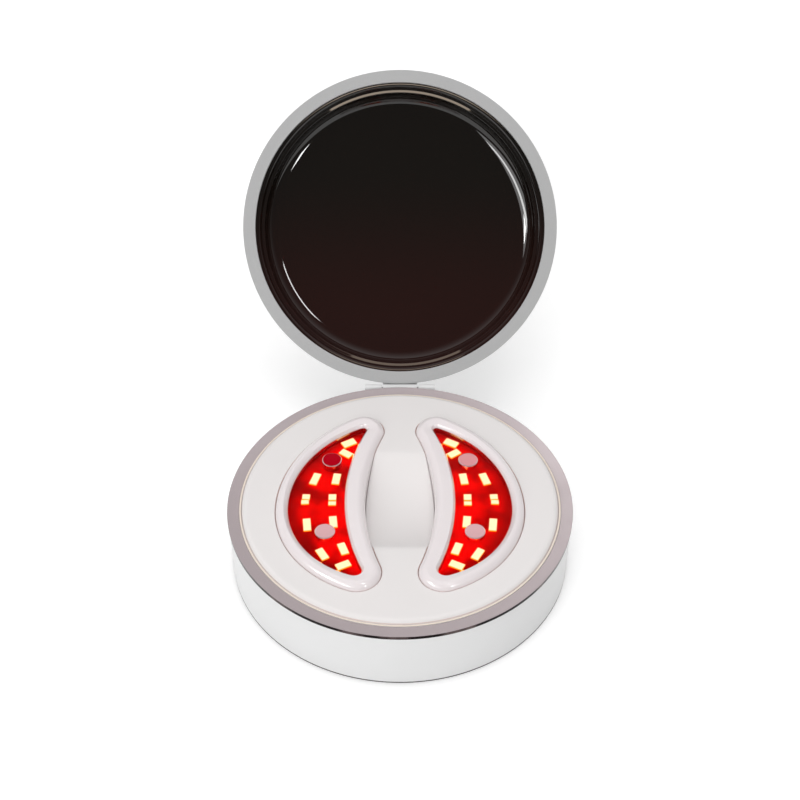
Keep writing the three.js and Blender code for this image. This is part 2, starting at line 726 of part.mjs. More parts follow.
// One massager, its back face resting just above the floor of its pocket
function massager(side) {
  const group = new THREE.Group();
  const add = (name, body, look) => group.add(piece(`${side}_${name}`, sided(body, side), look));
  add('face_frame', faceFrame(), whiteShell);
  add('window_lens', windowLens(), redLens);
  Object.entries(electrodes).forEach(([place, at]) => add(`electrode_${place}`, electrode(at), polished));
  add('led_board', ledBoard(), ledGlow);
  add('pulse_board', pulseBoard(), greenBoard);
  add('cell', massagerCell(), foil);
  add('magnet', massagerMagnet(), nickel);
  Object.entries(contacts).forEach(([place, at]) => add(`charge_contact_${place}`, chargeContact(at), gold));
  add('back_shell', backShell(), whiteShell);
  add('mode_button', modeButton(), softGrey);
  group.position.z = massagerBottom;
  return group;
}

function base() {
  const group = new THREE.Group();
  const add = (name, body, look) => group.add(piece(name, body, look));
  add('base_shell', baseShell(), whiteShell);
  add('base_trim_ring', trimRing(baseTrimWidth, baseHeight, seatHeight), plated);
  add('inner_tray', innerTray(), whiteTray);
  add('bottom_cover', bottomCover(), whiteShell);
  add('foot_pad', footPad(), greyRubber);
  screwPlaces.forEach((at, i) => add(`tray_screw_${i + 1}`, screw(at), nickel));
  add('charging_board', chargingBoard(), greenBoard);
  add('usb_socket', usbSocket(), nickel);
  add('case_battery', block(caseCell, [0, caseCellY, coverTop + touch]), foil);
  add('latch_magnet', block(latchMagnet, [0, -latchRadius, rimUnderside]), nickel);
  add('hinge_pin', bar(pinRadius, lidKnuckleLength + 2 * baseKnuckleLength, [0, hingeY, hingeZ], 12), nickel);
  sides.forEach((side) => {
    const magnet = post(magnetRadius, cupLow, tubBottom - touch, flip(magnetAt, side));
    add(`${side}_pocket_magnet`, magnet, nickel);
    Object.entries(contacts).forEach(([place, at]) => {
      add(`${side}_pocket_contact_${place}`, pocketStud(flip(at, side)), gold);
    });
  });
  return group;
}

// The lid turns about the hinge pin; its pieces are drawn shut and the group is turned open
function lid() {
  const shut = new THREE.Group();
  shut.add(piece('lid_shell', lidShell(), whiteShell));
  shut.add(piece('lid_trim_ring', trimRing(lidTrimWidth, 0, trimHeight), plated));
  shut.add(piece('lid_liner', lidLiner(), glossBlack));
  shut.position.set(0, -hingeY, baseHeight + lidGap - hingeZ);
  const swing = new THREE.Group();
  swing.add(shut);
  swing.position.set(0, hingeY, hingeZ);
  swing.rotation.x = THREE.MathUtils.degToRad(-openAngle);
  return swing;
}

const eyeMassager = new THREE.Group();
eyeMassager.add(base(), lid(), massager('left'), massager('right'));

export default eyeMassager;
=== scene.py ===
"""Fine surfaces, finishes and a studio for two crescent eye massagers in their charging case."""

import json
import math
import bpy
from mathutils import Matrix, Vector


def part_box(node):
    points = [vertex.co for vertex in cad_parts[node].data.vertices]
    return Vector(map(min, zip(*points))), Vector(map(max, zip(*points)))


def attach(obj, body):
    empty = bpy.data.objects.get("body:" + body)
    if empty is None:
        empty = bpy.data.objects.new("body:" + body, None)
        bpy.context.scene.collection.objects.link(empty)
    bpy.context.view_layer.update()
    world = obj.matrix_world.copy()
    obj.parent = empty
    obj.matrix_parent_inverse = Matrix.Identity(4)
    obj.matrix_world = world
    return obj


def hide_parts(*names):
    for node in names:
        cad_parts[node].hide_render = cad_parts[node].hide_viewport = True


bl_info = {
    "name": "Eye Massager Case",
    "version": (1, 0, 0),
    "blender": (4, 5, 0),
    "location": "3D View > Sidebar > Eye Massager",
    "description": "Dresses a hinged charging case and its two crescent eye massagers",
    "category": "Object",
}

import bmesh
import bpy
from bpy.props import FloatProperty, FloatVectorProperty, PointerProperty
from bpy.types import Operator, Panel, PropertyGroup
from mathutils import Matrix, Vector

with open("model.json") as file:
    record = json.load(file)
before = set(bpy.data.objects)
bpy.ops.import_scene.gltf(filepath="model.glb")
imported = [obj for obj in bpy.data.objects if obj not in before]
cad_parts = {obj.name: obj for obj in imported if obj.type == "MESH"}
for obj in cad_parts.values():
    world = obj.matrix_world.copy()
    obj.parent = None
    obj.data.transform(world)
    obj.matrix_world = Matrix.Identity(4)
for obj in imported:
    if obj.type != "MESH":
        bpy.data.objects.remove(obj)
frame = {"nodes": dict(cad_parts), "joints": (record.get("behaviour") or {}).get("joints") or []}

MM = 0.001

# Steps round each form, fine enough that no facet shows
TURN_STEPS = 192
SMALL_TURN_STEPS = 48
FILLET_STEPS = 6
OUTER_STEPS = 48
TIP_STEPS = 28
INNER_STEPS = 36
STRIP_STEPS = 24
HOLE_STEPS = 24
SLOT_STEPS = 16

# Frame sizes that the pieces are fitted to
RING_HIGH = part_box("base_trim_ring")[1]
TRAY_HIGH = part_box("inner_tray")[1]
BACK_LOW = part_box("right_back_shell")[0]
HINGE = next(joint for joint in frame["joints"] if joint["name"] == "lid_hinge")
PIN = Vector(HINGE["pos_m"])
OPEN_ANGLE = math.radians(min(HINGE["range_deg"]))

# Lengths that few would change
MERGE = 0.0005 * MM
LID_GAP = 0.3 * MM
LIP_GAP = 0.04 * MM
LIP_WIDTH = 0.55 * MM
LIP_RISE = 0.15 * MM
RIM_DEPTH = 3.0 * MM
SLEEVE_WALL = 2.1 * MM
SLEEVE_REBATE = 0.5 * MM
COVER_BOTTOM = 0.4 * MM
COVER_TOP = 2.4 * MM
COVER_RECESS = 1.0 * MM
FOOT_TOP = 0.9 * MM
# Height of the band of painted contact shadow at the sleeve's foot
CONTACT_SHADOW_BAND = 0.5 * MM
SLIP = 0.3 * MM
TOUCH = 0.1 * MM
EDGE_BREAK = 0.12 * MM
KNUCKLE_BREAK = 0.15 * MM
CUT_BREAK = 0.01 * MM
SIDE_BAND = 0.3 * MM
NEAR = 0.05 * MM
TRAY_WALL = 1.2 * MM
TRAY_SLIP = 0.06 * MM
TRAY_FLANGE = 1.4 * MM
TRAY_FOOT = 1.6 * MM
STRIP_RUN = 4 * MM
STRIP_MERGE = 0.005 * MM
CAP_WALL = 1.4 * MM
CAP_FLOOR = 1.3 * MM
DISH_WALL = 1.0 * MM
DISH_FLANGE = 1.3 * MM
DISH_LEDGE = 1.9 * MM
DISH_BROW = 2.13 * MM
DISH_BRIM = 0.4 * MM
BARREL_RADIUS = 1.2 * MM
PIN_RADIUS = 0.5 * MM
PIN_HOLE = 0.6 * MM
LID_KNUCKLE = 9.8 * MM
BASE_KNUCKLE = 4.8 * MM
GUSSET_ROOT = 0.5 * MM
GUSSET_DROP = 5 * MM
ARM_TOP = 1.5 * MM
ARM_ROOT = 5.3 * MM
ARM_SUNK = 0.7 * MM
STOP_REACH = 1.55 * MM
STOP_ANGLE = math.radians(-22)
SOCKET = (8.94 * MM, 7.3 * MM, 3.26 * MM)
SOCKET_MIDDLE = 8.83 * MM
SOCKET_DEPTH = 6.2 * MM
SOCKET_SKIN = 0.35 * MM
SLOT_SLACK = 0.6 * MM
SLOT_CLEAR = 2 * MM
TONGUE = (6.7 * MM, 5.1 * MM, 0.7 * MM)
TONGUE_BREAK = 0.1 * MM
TONGUE_MIDDLE = 2.05 * MM
TERMINAL = (0.45 * MM, 4.0 * MM, 0.76 * MM)
TERMINAL_MIDDLE = 2.3 * MM
TERMINAL_PITCH = 1.0 * MM
TERMINALS = 6
STUD_RADIUS = 0.9 * MM
STUD_LOW = 7.2 * MM
CONTACT_RADIUS = 1.4 * MM
LENS_GAP = 0.04 * MM
WINDOW_BEVEL = 0.6 * MM
WINDOW_BEVEL_TOP = 8.45 * MM
BOARD_THICKNESS = 0.8 * MM
LAMP_FRAME = 0.05 * MM
BACK_LEDGE = 1.0 * MM
BACK_DRAFT = 0.5 * MM
STEM_RADIUS = 0.7 * MM
KEY_FLANGE = 0.6 * MM
KEY_STEM = 0.9 * MM

# Lamps on a massager's board: middle in plan, width and length, turn in degrees; the right side
LAMPS = [
    ((13.9, 22.2), (3.8, 2.3), -30),
    ((14.6, 18.1), (3.4, 2.1), 36),
    ((16.9, 8.4), (2.0, 3.9), 8),
    ((22.5, 8.4), (2.0, 4.2), 17),
    ((17.7, 1.6), (2.0, 2.1), 0),
    ((17.7, -0.6), (2.0, 1.3), 0),
    ((24.6, 1.75), (2.0, 1.8), 3),
    ((24.8, -0.15), (2.0, 1.4), -3),
    ((17.2, -7.2), (2.0, 3.9), -6),
    ((23.9, -8.2), (2.0, 4.2), -6),
    ((14.4, -16.5), (2.0, 3.9), -20),
    ((19.6, -18.3), (2.0, 3.9), -30),
    ((14.2, -22.0), (3.7, 2.1), -27),
]
ELECTRODES = {"upper": (18.2, 13.9), "lower": (19.1, -12.1)}
CONTACTS = {"inner": (14.5, 15.2), "outer": (20.5, 15.2)}
BUTTON = (14.8, -19.0)
SIDES = ("left", "right")


def length(name, description, default):
    """A size that the user may change, in metres"""
    return FloatProperty(
        name=name, description=description, default=default, unit="LENGTH", precision=5
    )


def tip(name, description, default):
    """The round tip of a crescent: its middle across and along, and its radius, given in mm"""
    default = [part * MM for part in default]
    return FloatVectorProperty(
        name=name, description=description, default=default, size=3, unit="LENGTH", precision=5
    )


def colour(name, description, value):
    """A colour that the user may change, given as an sRGB hex value"""
    default = linear(value)
    return FloatVectorProperty(
        name=name, description=description, default=default, subtype="COLOR", size=4, min=0, max=1
    )


def linear(value):
    """An sRGB hex value as linear red, green, blue and alpha"""
    parts = [int(value[i : i + 2], 16) / 255 for i in (1, 3, 5)]
    return [c / 12.92 if c <= 0.04045 else ((c + 0.055) / 1.055) ** 2.4 for c in parts] + [1.0]


class CaseSizes(PropertyGroup):
    """Sizes of the round case"""

    radius: length("Radius", "Outside of both trim rings", RING_HIGH.x)
    base_height: length("Base Height", "Table to the top of the lower trim ring", RING_HIGH.z)
    trim_height: length("Trim Height", "Thickness of both trim rings", 1.0 * MM)
    trim_proud: length("Trim Overhang", "How far the trim rings stand out of the walls", 0.3 * MM)
    base_trim_width: length("Base Trim Width", "Face of the lower trim ring", 3.1 * MM)
    lid_trim_width: length("Lid Trim Width", "Face of the lid's trim ring", 3.5 * MM)
    tray_height: length("Tray Height", "Table to the top of the tray", TRAY_HIGH.z)
    tray_fillet: length("Pocket Fillet", "Rounding of the pockets' upper edge", 0.35 * MM)
    pocket_gap: length("Pocket Clearance", "Clearance round a massager in its pocket", 0.03 * MM)
    scoop_depth: length("Scoop Depth", "Depth of the finger scoop", 5.0 * MM)
    scoop_reach: length("Scoop Reach", "Half the length of the finger scoop", 16.8 * MM)
    scoop_blend: length("Scoop Blend", "Softness of the scoop's two ends", 0.45 * MM)
    foot_radius: length("Foot Radius", "Radius of the foot pad", 38.0 * MM)
    lid_height: length("Lid Height", "Lid's ring face to the edge of its crown", 10.6 * MM)
    lid_crown: length("Lid Crown", "Rise of the lid's back", 0.7 * MM)
    lid_fillet: length("Lid Fillet", "Rounding of the lid's outer edge", 2.6 * MM)
    dish_depth: length("Dish Depth", "Lid's ring face to the floor of its dish", 7.9 * MM)
    dish_lip: length("Dish Lip", "Rounding of the dish's mouth", 1.6 * MM)
    dish_step: length("Dish Step", "From the dish's mouth in to the brim of its bowl", 2.5 * MM)
    dish_floor: length("Dish Floor", "Radius of the dish's flat floor", 34.0 * MM)


class MassagerSizes(PropertyGroup):
    """Sizes of one massager, heights above its own back face"""

    outer: length("Outer Edge", "Outline's outer side from the case's axis", 32.3 * MM)
    inner: length("Inner Edge", "Outline's inner side from the case's axis", 9.1 * MM)
    upper: tip("Upper Tip", "Outline's tip by the hinge: across, along, radius", (9.9, 25.6, 5.6))
    lower: tip("Lower Tip", "Outline's front tip: across, along, radius", (10.7, -25.4, 6.2))
    window_outer: length("Window Outer Edge", "Window's outer side from the axis", 29.0 * MM)
    window_inner: length("Window Inner Edge", "Window's inner side from the axis", 14.4 * MM)
    window_upper: tip("Window Upper Tip", "Window's tip by the hinge", (10.0, 25.7, 0.9))
    window_lower: tip("Window Lower Tip", "Window's front tip", (11.4, -25.1, 1.9))
    belly: length("Belly", "Where both outlines are widest, along from the axis", -3.0 * MM)
    crest: length("Crest", "Height of the rim's crest", 8.8 * MM)
    shoulder: length("Shoulder", "Height where the rim starts to round over", 6.4 * MM)
    crest_inset: length("Crest Inset", "Rim's crest in from the outline", 2.2 * MM)
    parting: length("Parting", "Height where the rim meets the back shell", 5.0 * MM)
    window_height: length("Window Height", "Height of the window's face", 7.7 * MM)
    lens_thickness: length("Window Thickness", "Thickness of the red window", 1.1 * MM)
    lens_edge: length("Window Edge", "Rounding of the window's upper edge", 0.3 * MM)
    board_top: length("Board Height", "Height of the lamp board's face", 5.5 * MM)
    lamp_height: length("Lamp Height", "Height of a lamp over its board", 0.4 * MM)
    electrode_radius: length("Electrode Radius", "Radius of a pulse electrode", 2.6 * MM)
    electrode_proud: length("Electrode Rise", "Electrode's face above the window", 0.2 * MM)
    back_round: length("Back Rounding", "Rounding of the massager's back edge", 2.4 * MM)
    wall: length("Wall", "Thickness of the massager's casing", 1.4 * MM)
    floor: length("Floor", "Thickness of the massager's back", 1.1 * MM)
    button_radius: length("Button Radius", "Radius of the mode button", 2.8 * MM)


class FinishColours(PropertyGroup):
    """Colours of the finishes"""

    shell: colour("Casing", "Case outside, moulded ABS", "#e6e6e6")
    tray: colour("Tray", "Tray, satin moulded ABS", "#e8e4e3")
    # Painted warm glow of the lamps' light at the mouths of the joints
    gap: colour("Joint", "Walls at the mouths of the joints", "#d3a294")
    # Painted warm reflection of the ring's plating on the lip
    lip: colour("Lip", "Base shell's lip inside its ring", "#e9dccf")
    # Faint painted pink of the lamps' red light in the rim's colour
    rim: colour("Rim", "Massager's casing, gloss ABS", "#eae2e3")
    plating: colour("Plating", "Face of the lower trim ring", "#a4989a")
    lid_plating: colour("Lid Plating", "Face of the lid's trim ring", "#cacaca")
    # Near black of the rings' polished side: a painted dark reflection
    ring_side_reflection_paint: colour("Plating Edge", "Polished side of the trim rings", "#0f0708")
    dish: colour("Dish", "Inside of the lid, piano black", "#0e0905")
    # Painted red reflection of the lit windows in the dish, towards the hinge
    dish_red_reflection_paint: colour("Dish by the Hinge", "Its warmer tone towards the lit windows", "#220b07")
    window: colour("Window", "Clear red acrylic", "#ffe4dc")
    glow: colour("Glow", "Lamp board seen through the window", "#700000")
    lamp: colour("Lamp", "Lit lamp", "#fcf8cc")
    # Pink of the electrodes: a painted reflection of the red windows
    electrode: colour("Electrode", "Polished electrode", "#ffcbcf")
    # Dark red of the left upper electrode: a painted reflection of the red window
    dark_electrode: colour("Dark Electrode", "Left massager's upper electrode", "#cc0420")
    # Rose of the right upper electrode: painted red light of the lamps
    rose_electrode: colour("Rose Electrode", "Right massager's upper electrode", "#ffb2b5")
    # Painted highlight along an electrode's broken edge
    electrode_edge_highlight_paint: colour("Electrode Rim", "Buffed edge of an electrode", "#fff2f2")


def finish_colours():
    return bpy.context.scene.eye_case_colours


def case_sizes():
    return bpy.context.scene.eye_case_sizes


def massager_sizes():
    return bpy.context.scene.eye_massager_sizes


# Mesh tools


def tidied(bm):
    """Merges what meets, then turns the faces outwards"""
    bmesh.ops.remove_doubles(bm, verts=bm.verts, dist=MERGE)
    bmesh.ops.recalc_face_normals(bm, faces=bm.faces)
    return bm


def shifted(bm, x=0.0, y=0.0, z=0.0):
    """Moves a whole mesh"""
    bmesh.ops.translate(bm, vec=(x, y, z), verts=bm.verts)
    return bm


def painted(bm, look):
    """Gives each face the number of its finish, from the face, its middle and its radius"""
    bm.normal_update()
    for face in bm.faces:
        middle = face.calc_center_median()
        face.material_index = int(look(face, middle, math.hypot(middle.x, middle.y)))
    return bm


def spun(bm, line, steps):
    """Spins a line once round Z"""
    bmesh.ops.spin(
        bm, geom=line, cent=(0, 0, 0), axis=(0, 0, 1), angle=math.tau, steps=steps, use_merge=True
    )


def turned(profile, steps=TURN_STEPS):
    """Spins (radius, height) points about Z; a third number rounds the profile's corner there"""
    bm = bmesh.new()
    corners = [bm.verts.new((point[0], 0, point[1])) for point in profile]
    pairs = list(zip(corners, corners[1:]))
    if profile[0][0] > 0 or profile[-1][0] > 0:
        pairs.append((corners[-1], corners[0]))
    for pair in pairs:
        bm.edges.new(pair)
    for corner, point in zip(corners, profile):
        if len(point) > 2:
            bmesh.ops.bevel(
                bm,
                geom=[corner],
                offset=point[2],
                offset_type="OFFSET",
                segments=FILLET_STEPS,
                profile=0.5,
                affect="VERTICES",
                material=-1,
            )
    spun(bm, bm.verts[:] + bm.edges[:], steps)
    return tidied(bm)


def bar(radius, reach, at, edge):
    """A round bar along X with broken end edges"""
    end = reach / 2
    bm = turned([(0, -end), (radius, -end, edge), (radius, end, edge), (0, end)], SMALL_TURN_STEPS)
    place = Matrix.Translation(at) @ Matrix.Rotation(math.pi / 2, 4, "Y")
    bmesh.ops.transform(bm, matrix=place, verts=bm.verts)
    return bm


def block(middle, size, look, turn=0.0):
    """A box in one finish, turned about Z"""
    bm = bmesh.new()
    place = Matrix.Translation(middle) @ Matrix.Rotation(turn, 4, "Z")
    bmesh.ops.create_cube(bm, size=1.0, matrix=place @ Matrix.Diagonal((*size, 1)))
    return painted(bm, lambda *_: look)


def eased(bm, edges, width):
    """Breaks sharp edges"""
    bmesh.ops.bevel(
        bm, geom=edges, offset=width, segments=2, profile=0.5, affect="EDGES", material=-1
    )


def drawn_out(bm, corners, way):
    """Draws the face on these corners out along a vector"""
    face = bm.faces.new(corners)
    made = bmesh.ops.extrude_face_region(bm, geom=[face])["geom"]
    far = [item for item in made if isinstance(item, bmesh.types.BMVert)]
    bmesh.ops.translate(bm, vec=way, verts=far)


def hinge_arm(section, reach, edge=0.0):
    """A section of (y, z) points drawn out along X about the middle, its end edges broken"""
    bm = bmesh.new()
    drawn_out(bm, [bm.verts.new((-reach / 2, y, z)) for y, z in section], (reach, 0, 0))
    bmesh.ops.recalc_face_normals(bm, faces=bm.faces)
    if edge:
        ends = [item for item in bm.edges if abs(item.verts[0].co.x - item.verts[1].co.x) < MERGE]
        eased(bm, ends, edge)
    return bm


def merged(*parts):
    """Several meshes as one bmesh"""
    whole = bmesh.new()
    for part in parts:
        scratch = bpy.data.meshes.new("scratch")
        part.to_mesh(scratch)
        part.free()
        whole.from_mesh(scratch)
        bpy.data.meshes.remove(scratch)
    return whole


def carved(body, joins=(), cuts=()):
    """The body with other forms joined to it and cut from it"""
    base = new_object("carving", body)
    scratch = [base]
    for operation, parts in (("UNION", joins), ("DIFFERENCE", cuts)):
        for number, part in enumerate(parts):
            modifier = base.modifiers.new(f"{operation} {number}", "BOOLEAN")
            modifier.operation = operation
            modifier.solver = "EXACT"
            modifier.object = new_object(modifier.name, part)
            scratch.append(modifier.object)
    graph = bpy.context.evaluated_depsgraph_get()
    result = bpy.data.meshes.new_from_object(base.evaluated_get(graph))
    bm = bmesh.new()
    bm.from_mesh(result)
    bpy.data.meshes.remove(result)
    for made in scratch:
        mesh = made.data
        bpy.data.objects.remove(made)
        bpy.data.meshes.remove(mesh)
    return bm


def crescent(plan, inset, height):
    """Points of a crescent moved in by inset, from its belly round both of its tips"""
    outer, inner, belly, *tips = plan
    arcs = []
    for x, y, radius in tips:
        outer_radius = (outer - x) ** 2 + (y - belly) ** 2 - radius**2
        outer_radius /= 2 * (outer - x - radius)
        inner_radius = ((x - inner) ** 2 + y**2 - radius**2) / (2 * (radius - x + inner))
        outer_end = math.atan2(y - belly, x - outer + outer_radius)
        inner_end = math.atan2(y, x - inner + inner_radius)
        round_tip = inner_end - outer_end + math.copysign(math.pi, y)
        half = [
            ((outer - outer_radius, belly, height), outer_end, OUTER_STEPS),
            ((x, y, height), round_tip, TIP_STEPS),
            ((inner - inner_radius, 0, height), -inner_end, INNER_STEPS),
        ]
        if y < 0:
            half = [(centre, -angle, steps) for centre, angle, steps in reversed(half)]
        arcs += half
    bm = bmesh.new()
    corner = bm.verts.new((outer - inset, belly, height))
    for centre, angle, steps in arcs:
        made = bmesh.ops.spin(
            bm, geom=[corner], cent=centre, axis=(0, 0, 1), angle=angle, steps=steps
        )
        corner = made["geom_last"][0]
    points = [vert.co.copy() for vert in bm.verts][:-1]
    bm.free()
    return points


def body_plan():
    s = massager_sizes()
    return s.outer, s.inner, s.belly, s.upper, s.lower


def window_plan():
    s = massager_sizes()
    return s.window_outer, s.window_inner, s.belly, s.window_upper, s.window_lower


def loop_edges(bm, loop):
    """The edges of a closed loop of vertices"""
    return [bm.edges.get(pair) for pair in zip(loop, loop[1:] + loop[:1])]


def extruded(bm, loop, points):
    """Extrudes a loop's edges and puts the new loop at other points"""
    made = bmesh.ops.extrude_edge_only(bm, edges=loop_edges(bm, loop))["geom"]
    fresh = {item for item in made if isinstance(item, bmesh.types.BMVert)}
    moved = [
        next(edge.other_vert(vert) for edge in vert.link_edges if edge.other_vert(vert) in fresh)
        for vert in loop
    ]
    for vert, point in zip(moved, points):
        vert.co = point
    return moved


def lofted(bm, rows):
    """Joins outlines one to the next and returns the first and the last loop"""
    first = [bm.verts.new(point) for point in rows[0]]
    for pair in zip(first, first[1:] + first[:1]):
        bm.edges.new(pair)
    loop = first
    for row in rows[1:]:
        loop = extruded(bm, loop, row)
    return first, loop


def bore(bm, at, radius, low, high, steps=SMALL_TURN_STEPS):
    """The round wall of a hole and its two loops, upper one first; its place is in mm"""
    place = Matrix.Translation((at[0] * MM, at[1] * MM, high))
    made = bmesh.ops.create_circle(bm, cap_ends=False, segments=steps, radius=radius, matrix=place)
    upper = made["verts"]
    lower = extruded(bm, upper, [vert.co - Vector((0, 0, high - low)) for vert in upper])
    return upper, lower


def filled(bm, *loops):
    """Fills the flat face between loops at one height"""
    edges = [edge for loop in loops for edge in loop_edges(bm, loop)]
    bmesh.ops.triangle_fill(bm, use_beauty=True, use_dissolve=False, edges=edges)


def quarter(steps):
    """Cosine and sine from 0 to 90 degrees"""
    angles = [step / steps * math.pi / 2 for step in range(steps + 1)]
    return [(math.cos(angle), math.sin(angle)) for angle in angles]


def in_scene(name, data):
    """A new object that shows this data"""
    made = bpy.data.objects.new(name, data)
    bpy.context.scene.collection.objects.link(made)
    return made


def new_object(name, bm):
    """A new object with this mesh"""
    mesh = bpy.data.meshes.new(name)
    bm.to_mesh(mesh)
    bm.free()
    return in_scene(name, mesh)


def add_piece(bm, name, body, nodes, looks, crease=32.0):
    """Makes the finished object: smooth, with its creases sharp, riding on its body"""
    made = new_object(name, tidied(bm))
    for look in looks:
        made.data.materials.append(finish(look))
    made.data.shade_smooth()
    made.data.set_sharp_from_angle(angle=math.radians(crease))
    weighting = made.modifiers.new("Weighted Normal", "WEIGHTED_NORMAL")
    weighting.keep_sharp = True
    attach(made, body)
    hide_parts(*nodes)


def add_to_lid(bm, name, nodes, looks, crease=32.0):
    """A piece drawn with the lid shut on its ring's face, swung open about the hinge"""
    shut = Matrix.Translation((0, -PIN.y, case_sizes().base_height + LID_GAP - PIN.z))
    swing = Matrix.Translation((0, PIN.y, PIN.z)) @ Matrix.Rotation(OPEN_ANGLE, 4, "X")
    bmesh.ops.transform(bm, matrix=swing @ shut, verts=bm.verts)
    add_piece(bm, name, "lid", nodes, looks, crease)


def add_to_massagers(bm, name, nodes, looks, body="massager"):
    """A piece drawn for the right massager on its own back face, and its mirror image"""
    shifted(bm, z=BACK_LOW.z)
    for side in SIDES:
        part = bm.copy()
        if side == "left":
            bmesh.ops.scale(part, vec=(-1, 1, 1), verts=part.verts)
        own = looks[side] if isinstance(looks, dict) else looks
        names = [f"{side}_{node}" for node in nodes]
        add_piece(part, f"{side}_{name}", f"{side}_{body}", names, own)
    bm.free()


# Finishes


def node(tree, kind, sockets=None, **settings):
    """Adds a node with its settings, and sets its sockets or links them to sockets or nodes"""
    made = tree.nodes.new(f"ShaderNode{kind}")
    for name, value in settings.items():
        setattr(made, name, value)
    for key, value in (sockets or {}).items():
        if isinstance(value, bpy.types.Node):
            value = next(output for output in value.outputs if output.enabled)
        if isinstance(value, bpy.types.NodeSocket):
            tree.links.new(value, made.inputs[key])
        else:
            made.inputs[key].default_value = value
    return made


def emptied(owner):
    """The node tree of a material or world, with no nodes yet"""
    owner.use_nodes = True
    owner.node_tree.nodes.clear()
    return owner.node_tree


def tint(value):
    """A colour of the panel by its name, or an sRGB hex value, as linear parts"""
    return linear(value) if value.startswith("#") else list(getattr(finish_colours(), value))


def darker(value, share):
    return [part * share for part in tint(value)[:3]] + [1.0]


# Plastics and rubbers: colour, roughness, width and depth of the grain in mm, other sockets
MOULDED = {
    # ABS, polished: a soft broad gloss
    "Casing ABS": ("shell", 0.3, 0.5, 0.002, {"IOR": 1.53}),
    # ABS with a satin spark-eroded texture: light spreads over it without a clear reflection
    "Tray ABS Satin": ("tray", 0.5, 0.35, 0.006, {"IOR": 1.53}),
    # ABS of the lip, with the warm plating beside it painted into its colour as a reflection
    "Lip ABS": ("lip", 0.4, 0.5, 0.002, {"IOR": 1.53}),
    # ABS, polished and clear coated: crisp lights along its crest, and a faint pink of the lamps'
    # red light painted into its colour
    "Rim ABS Gloss": (
        "rim",
        0.22,
        0.6,
        0.0015,
        {"IOR": 1.53, "Coat Weight": 0.6, "Coat Roughness": 0.05},
    ),
    # Dark grey painted contact shadow, made as a rubber-like band, along the case's lowest edge
    # where it meets the table
    "Seam Rubber": ("#4a4646", 0.8, 0.25, 0.01, {"IOR": 1.41}),
    # Silicone rubber: no gloss, a fine dusty grain
    "Foot Rubber": ("#b9b7b6", 0.85, 0.25, 0.02, {"IOR": 1.41}),
    # Soft-touch moulded button
    "Button Soft Grey": ("#cfcaca", 0.55, 0.2, 0.008, {"IOR": 1.5}),
    # Glass-filled nylon tongue of the socket
    "Socket Nylon": ("#17181a", 0.45, 0.15, 0.006, {"IOR": 1.53}),
    # Glass epoxy board under green solder mask, its weave just showing
    "Circuit Board Green": ("#1c5a3a", 0.35, 0.4, 0.01, {"IOR": 1.55}),
}

# Metals: colour, roughness, metallic, width and depth of the grain in mm
PLATED = {
    # Zinc alloy under a satin plating: flat grey with a slight bloom
    "Ring Satin Plating": ("plating", 0.45, 0.2, 0.3, 0.004),
    # The same plating on steel, a cooler grey
    "Lid Ring Satin Plating": ("lid_plating", 0.4, 0.3, 0.3, 0.004),
    # Stainless steel, polished: it mirrors the studio, with the red beside it painted into its
    # colour as a warm reflection
    "Electrode Steel": ("electrode", 0.12, 1.0, 0.15, 0.0006),
    # The same steel, with its reflection of the red window painted into its colour as a deep red
    "Electrode Steel Dark": ("dark_electrode", 0.12, 1.0, 0.15, 0.0006),
    # The same steel, rosier with the lamps' red light painted into its colour where it stands
    # closer to them
    "Electrode Steel Rose": ("rose_electrode", 0.12, 1.0, 0.15, 0.0006),
    # The same steel, with a bright highlight painted where its edge is broken
    "Electrode Buffed Edge": ("electrode_edge_highlight_paint", 0.2, 0.8, 0.15, 0.0006),
    # Bright nickel on steel
    "Nickel Plate": ("#c4c3c2", 0.25, 1.0, 0.2, 0.001),
    # Flash gold on brass contacts
    "Gold Plate": ("#d9b45c", 0.22, 1.0, 0.12, 0.001),
    # Aluminium laminate pouch, slightly crinkled
    "Cell Foil": ("#c9ccd0", 0.35, 0.8, 1.5, 0.03),
}


def moulded(tree, place, base, roughness, grain, depth, sockets):
    """Moulded plastic: faint flow marks in its colour and gloss, and a fine grain from the mould"""
    flow = node(tree, "TexNoise", {"Vector": place, "Scale": 1 / (14 * MM), "Detail": 3.0})
    shades = {0: flow, 6: tint(base), 7: darker(base, 0.965)}
    hue = node(tree, "Mix", shades, data_type="RGBA")
    limits = {"To Min": roughness * 0.85, "To Max": roughness * 1.15}
    gloss = node(tree, "MapRange", {"Value": flow, **limits})
    fine = node(tree, "TexNoise", {"Vector": place, "Scale": 1 / (grain * MM), "Detail": 4.0})
    relief = node(tree, "Bump", {"Height": fine, "Distance": depth * MM, "Strength": 0.6})
    return {"Base Color": hue, "Roughness": gloss, "Normal": relief, **sockets}


def plated(tree, place, base, roughness, metallic, grain, depth):
    """Plated or polished metal: a fine grain, and gloss that varies a little with it"""
    fine = node(tree, "TexNoise", {"Vector": place, "Scale": 1 / (grain * MM), "Detail": 5.0})
    cloud = node(tree, "TexNoise", {"Vector": place, "Scale": 1 / (9 * MM), "Detail": 2.0})
    limits = {"To Min": roughness * 0.8, "To Max": roughness * 1.2}
    gloss = node(tree, "MapRange", {"Value": cloud, **limits})
    shades = {0: fine, 6: tint(base), 7: darker(base, 0.88)}
    hue = node(tree, "Mix", shades, data_type="RGBA")
    relief = node(tree, "Bump", {"Height": fine, "Distance": depth * MM, "Strength": 0.5})
    return {"Base Color": hue, "Metallic": metallic, "Roughness": gloss, "Normal": relief}


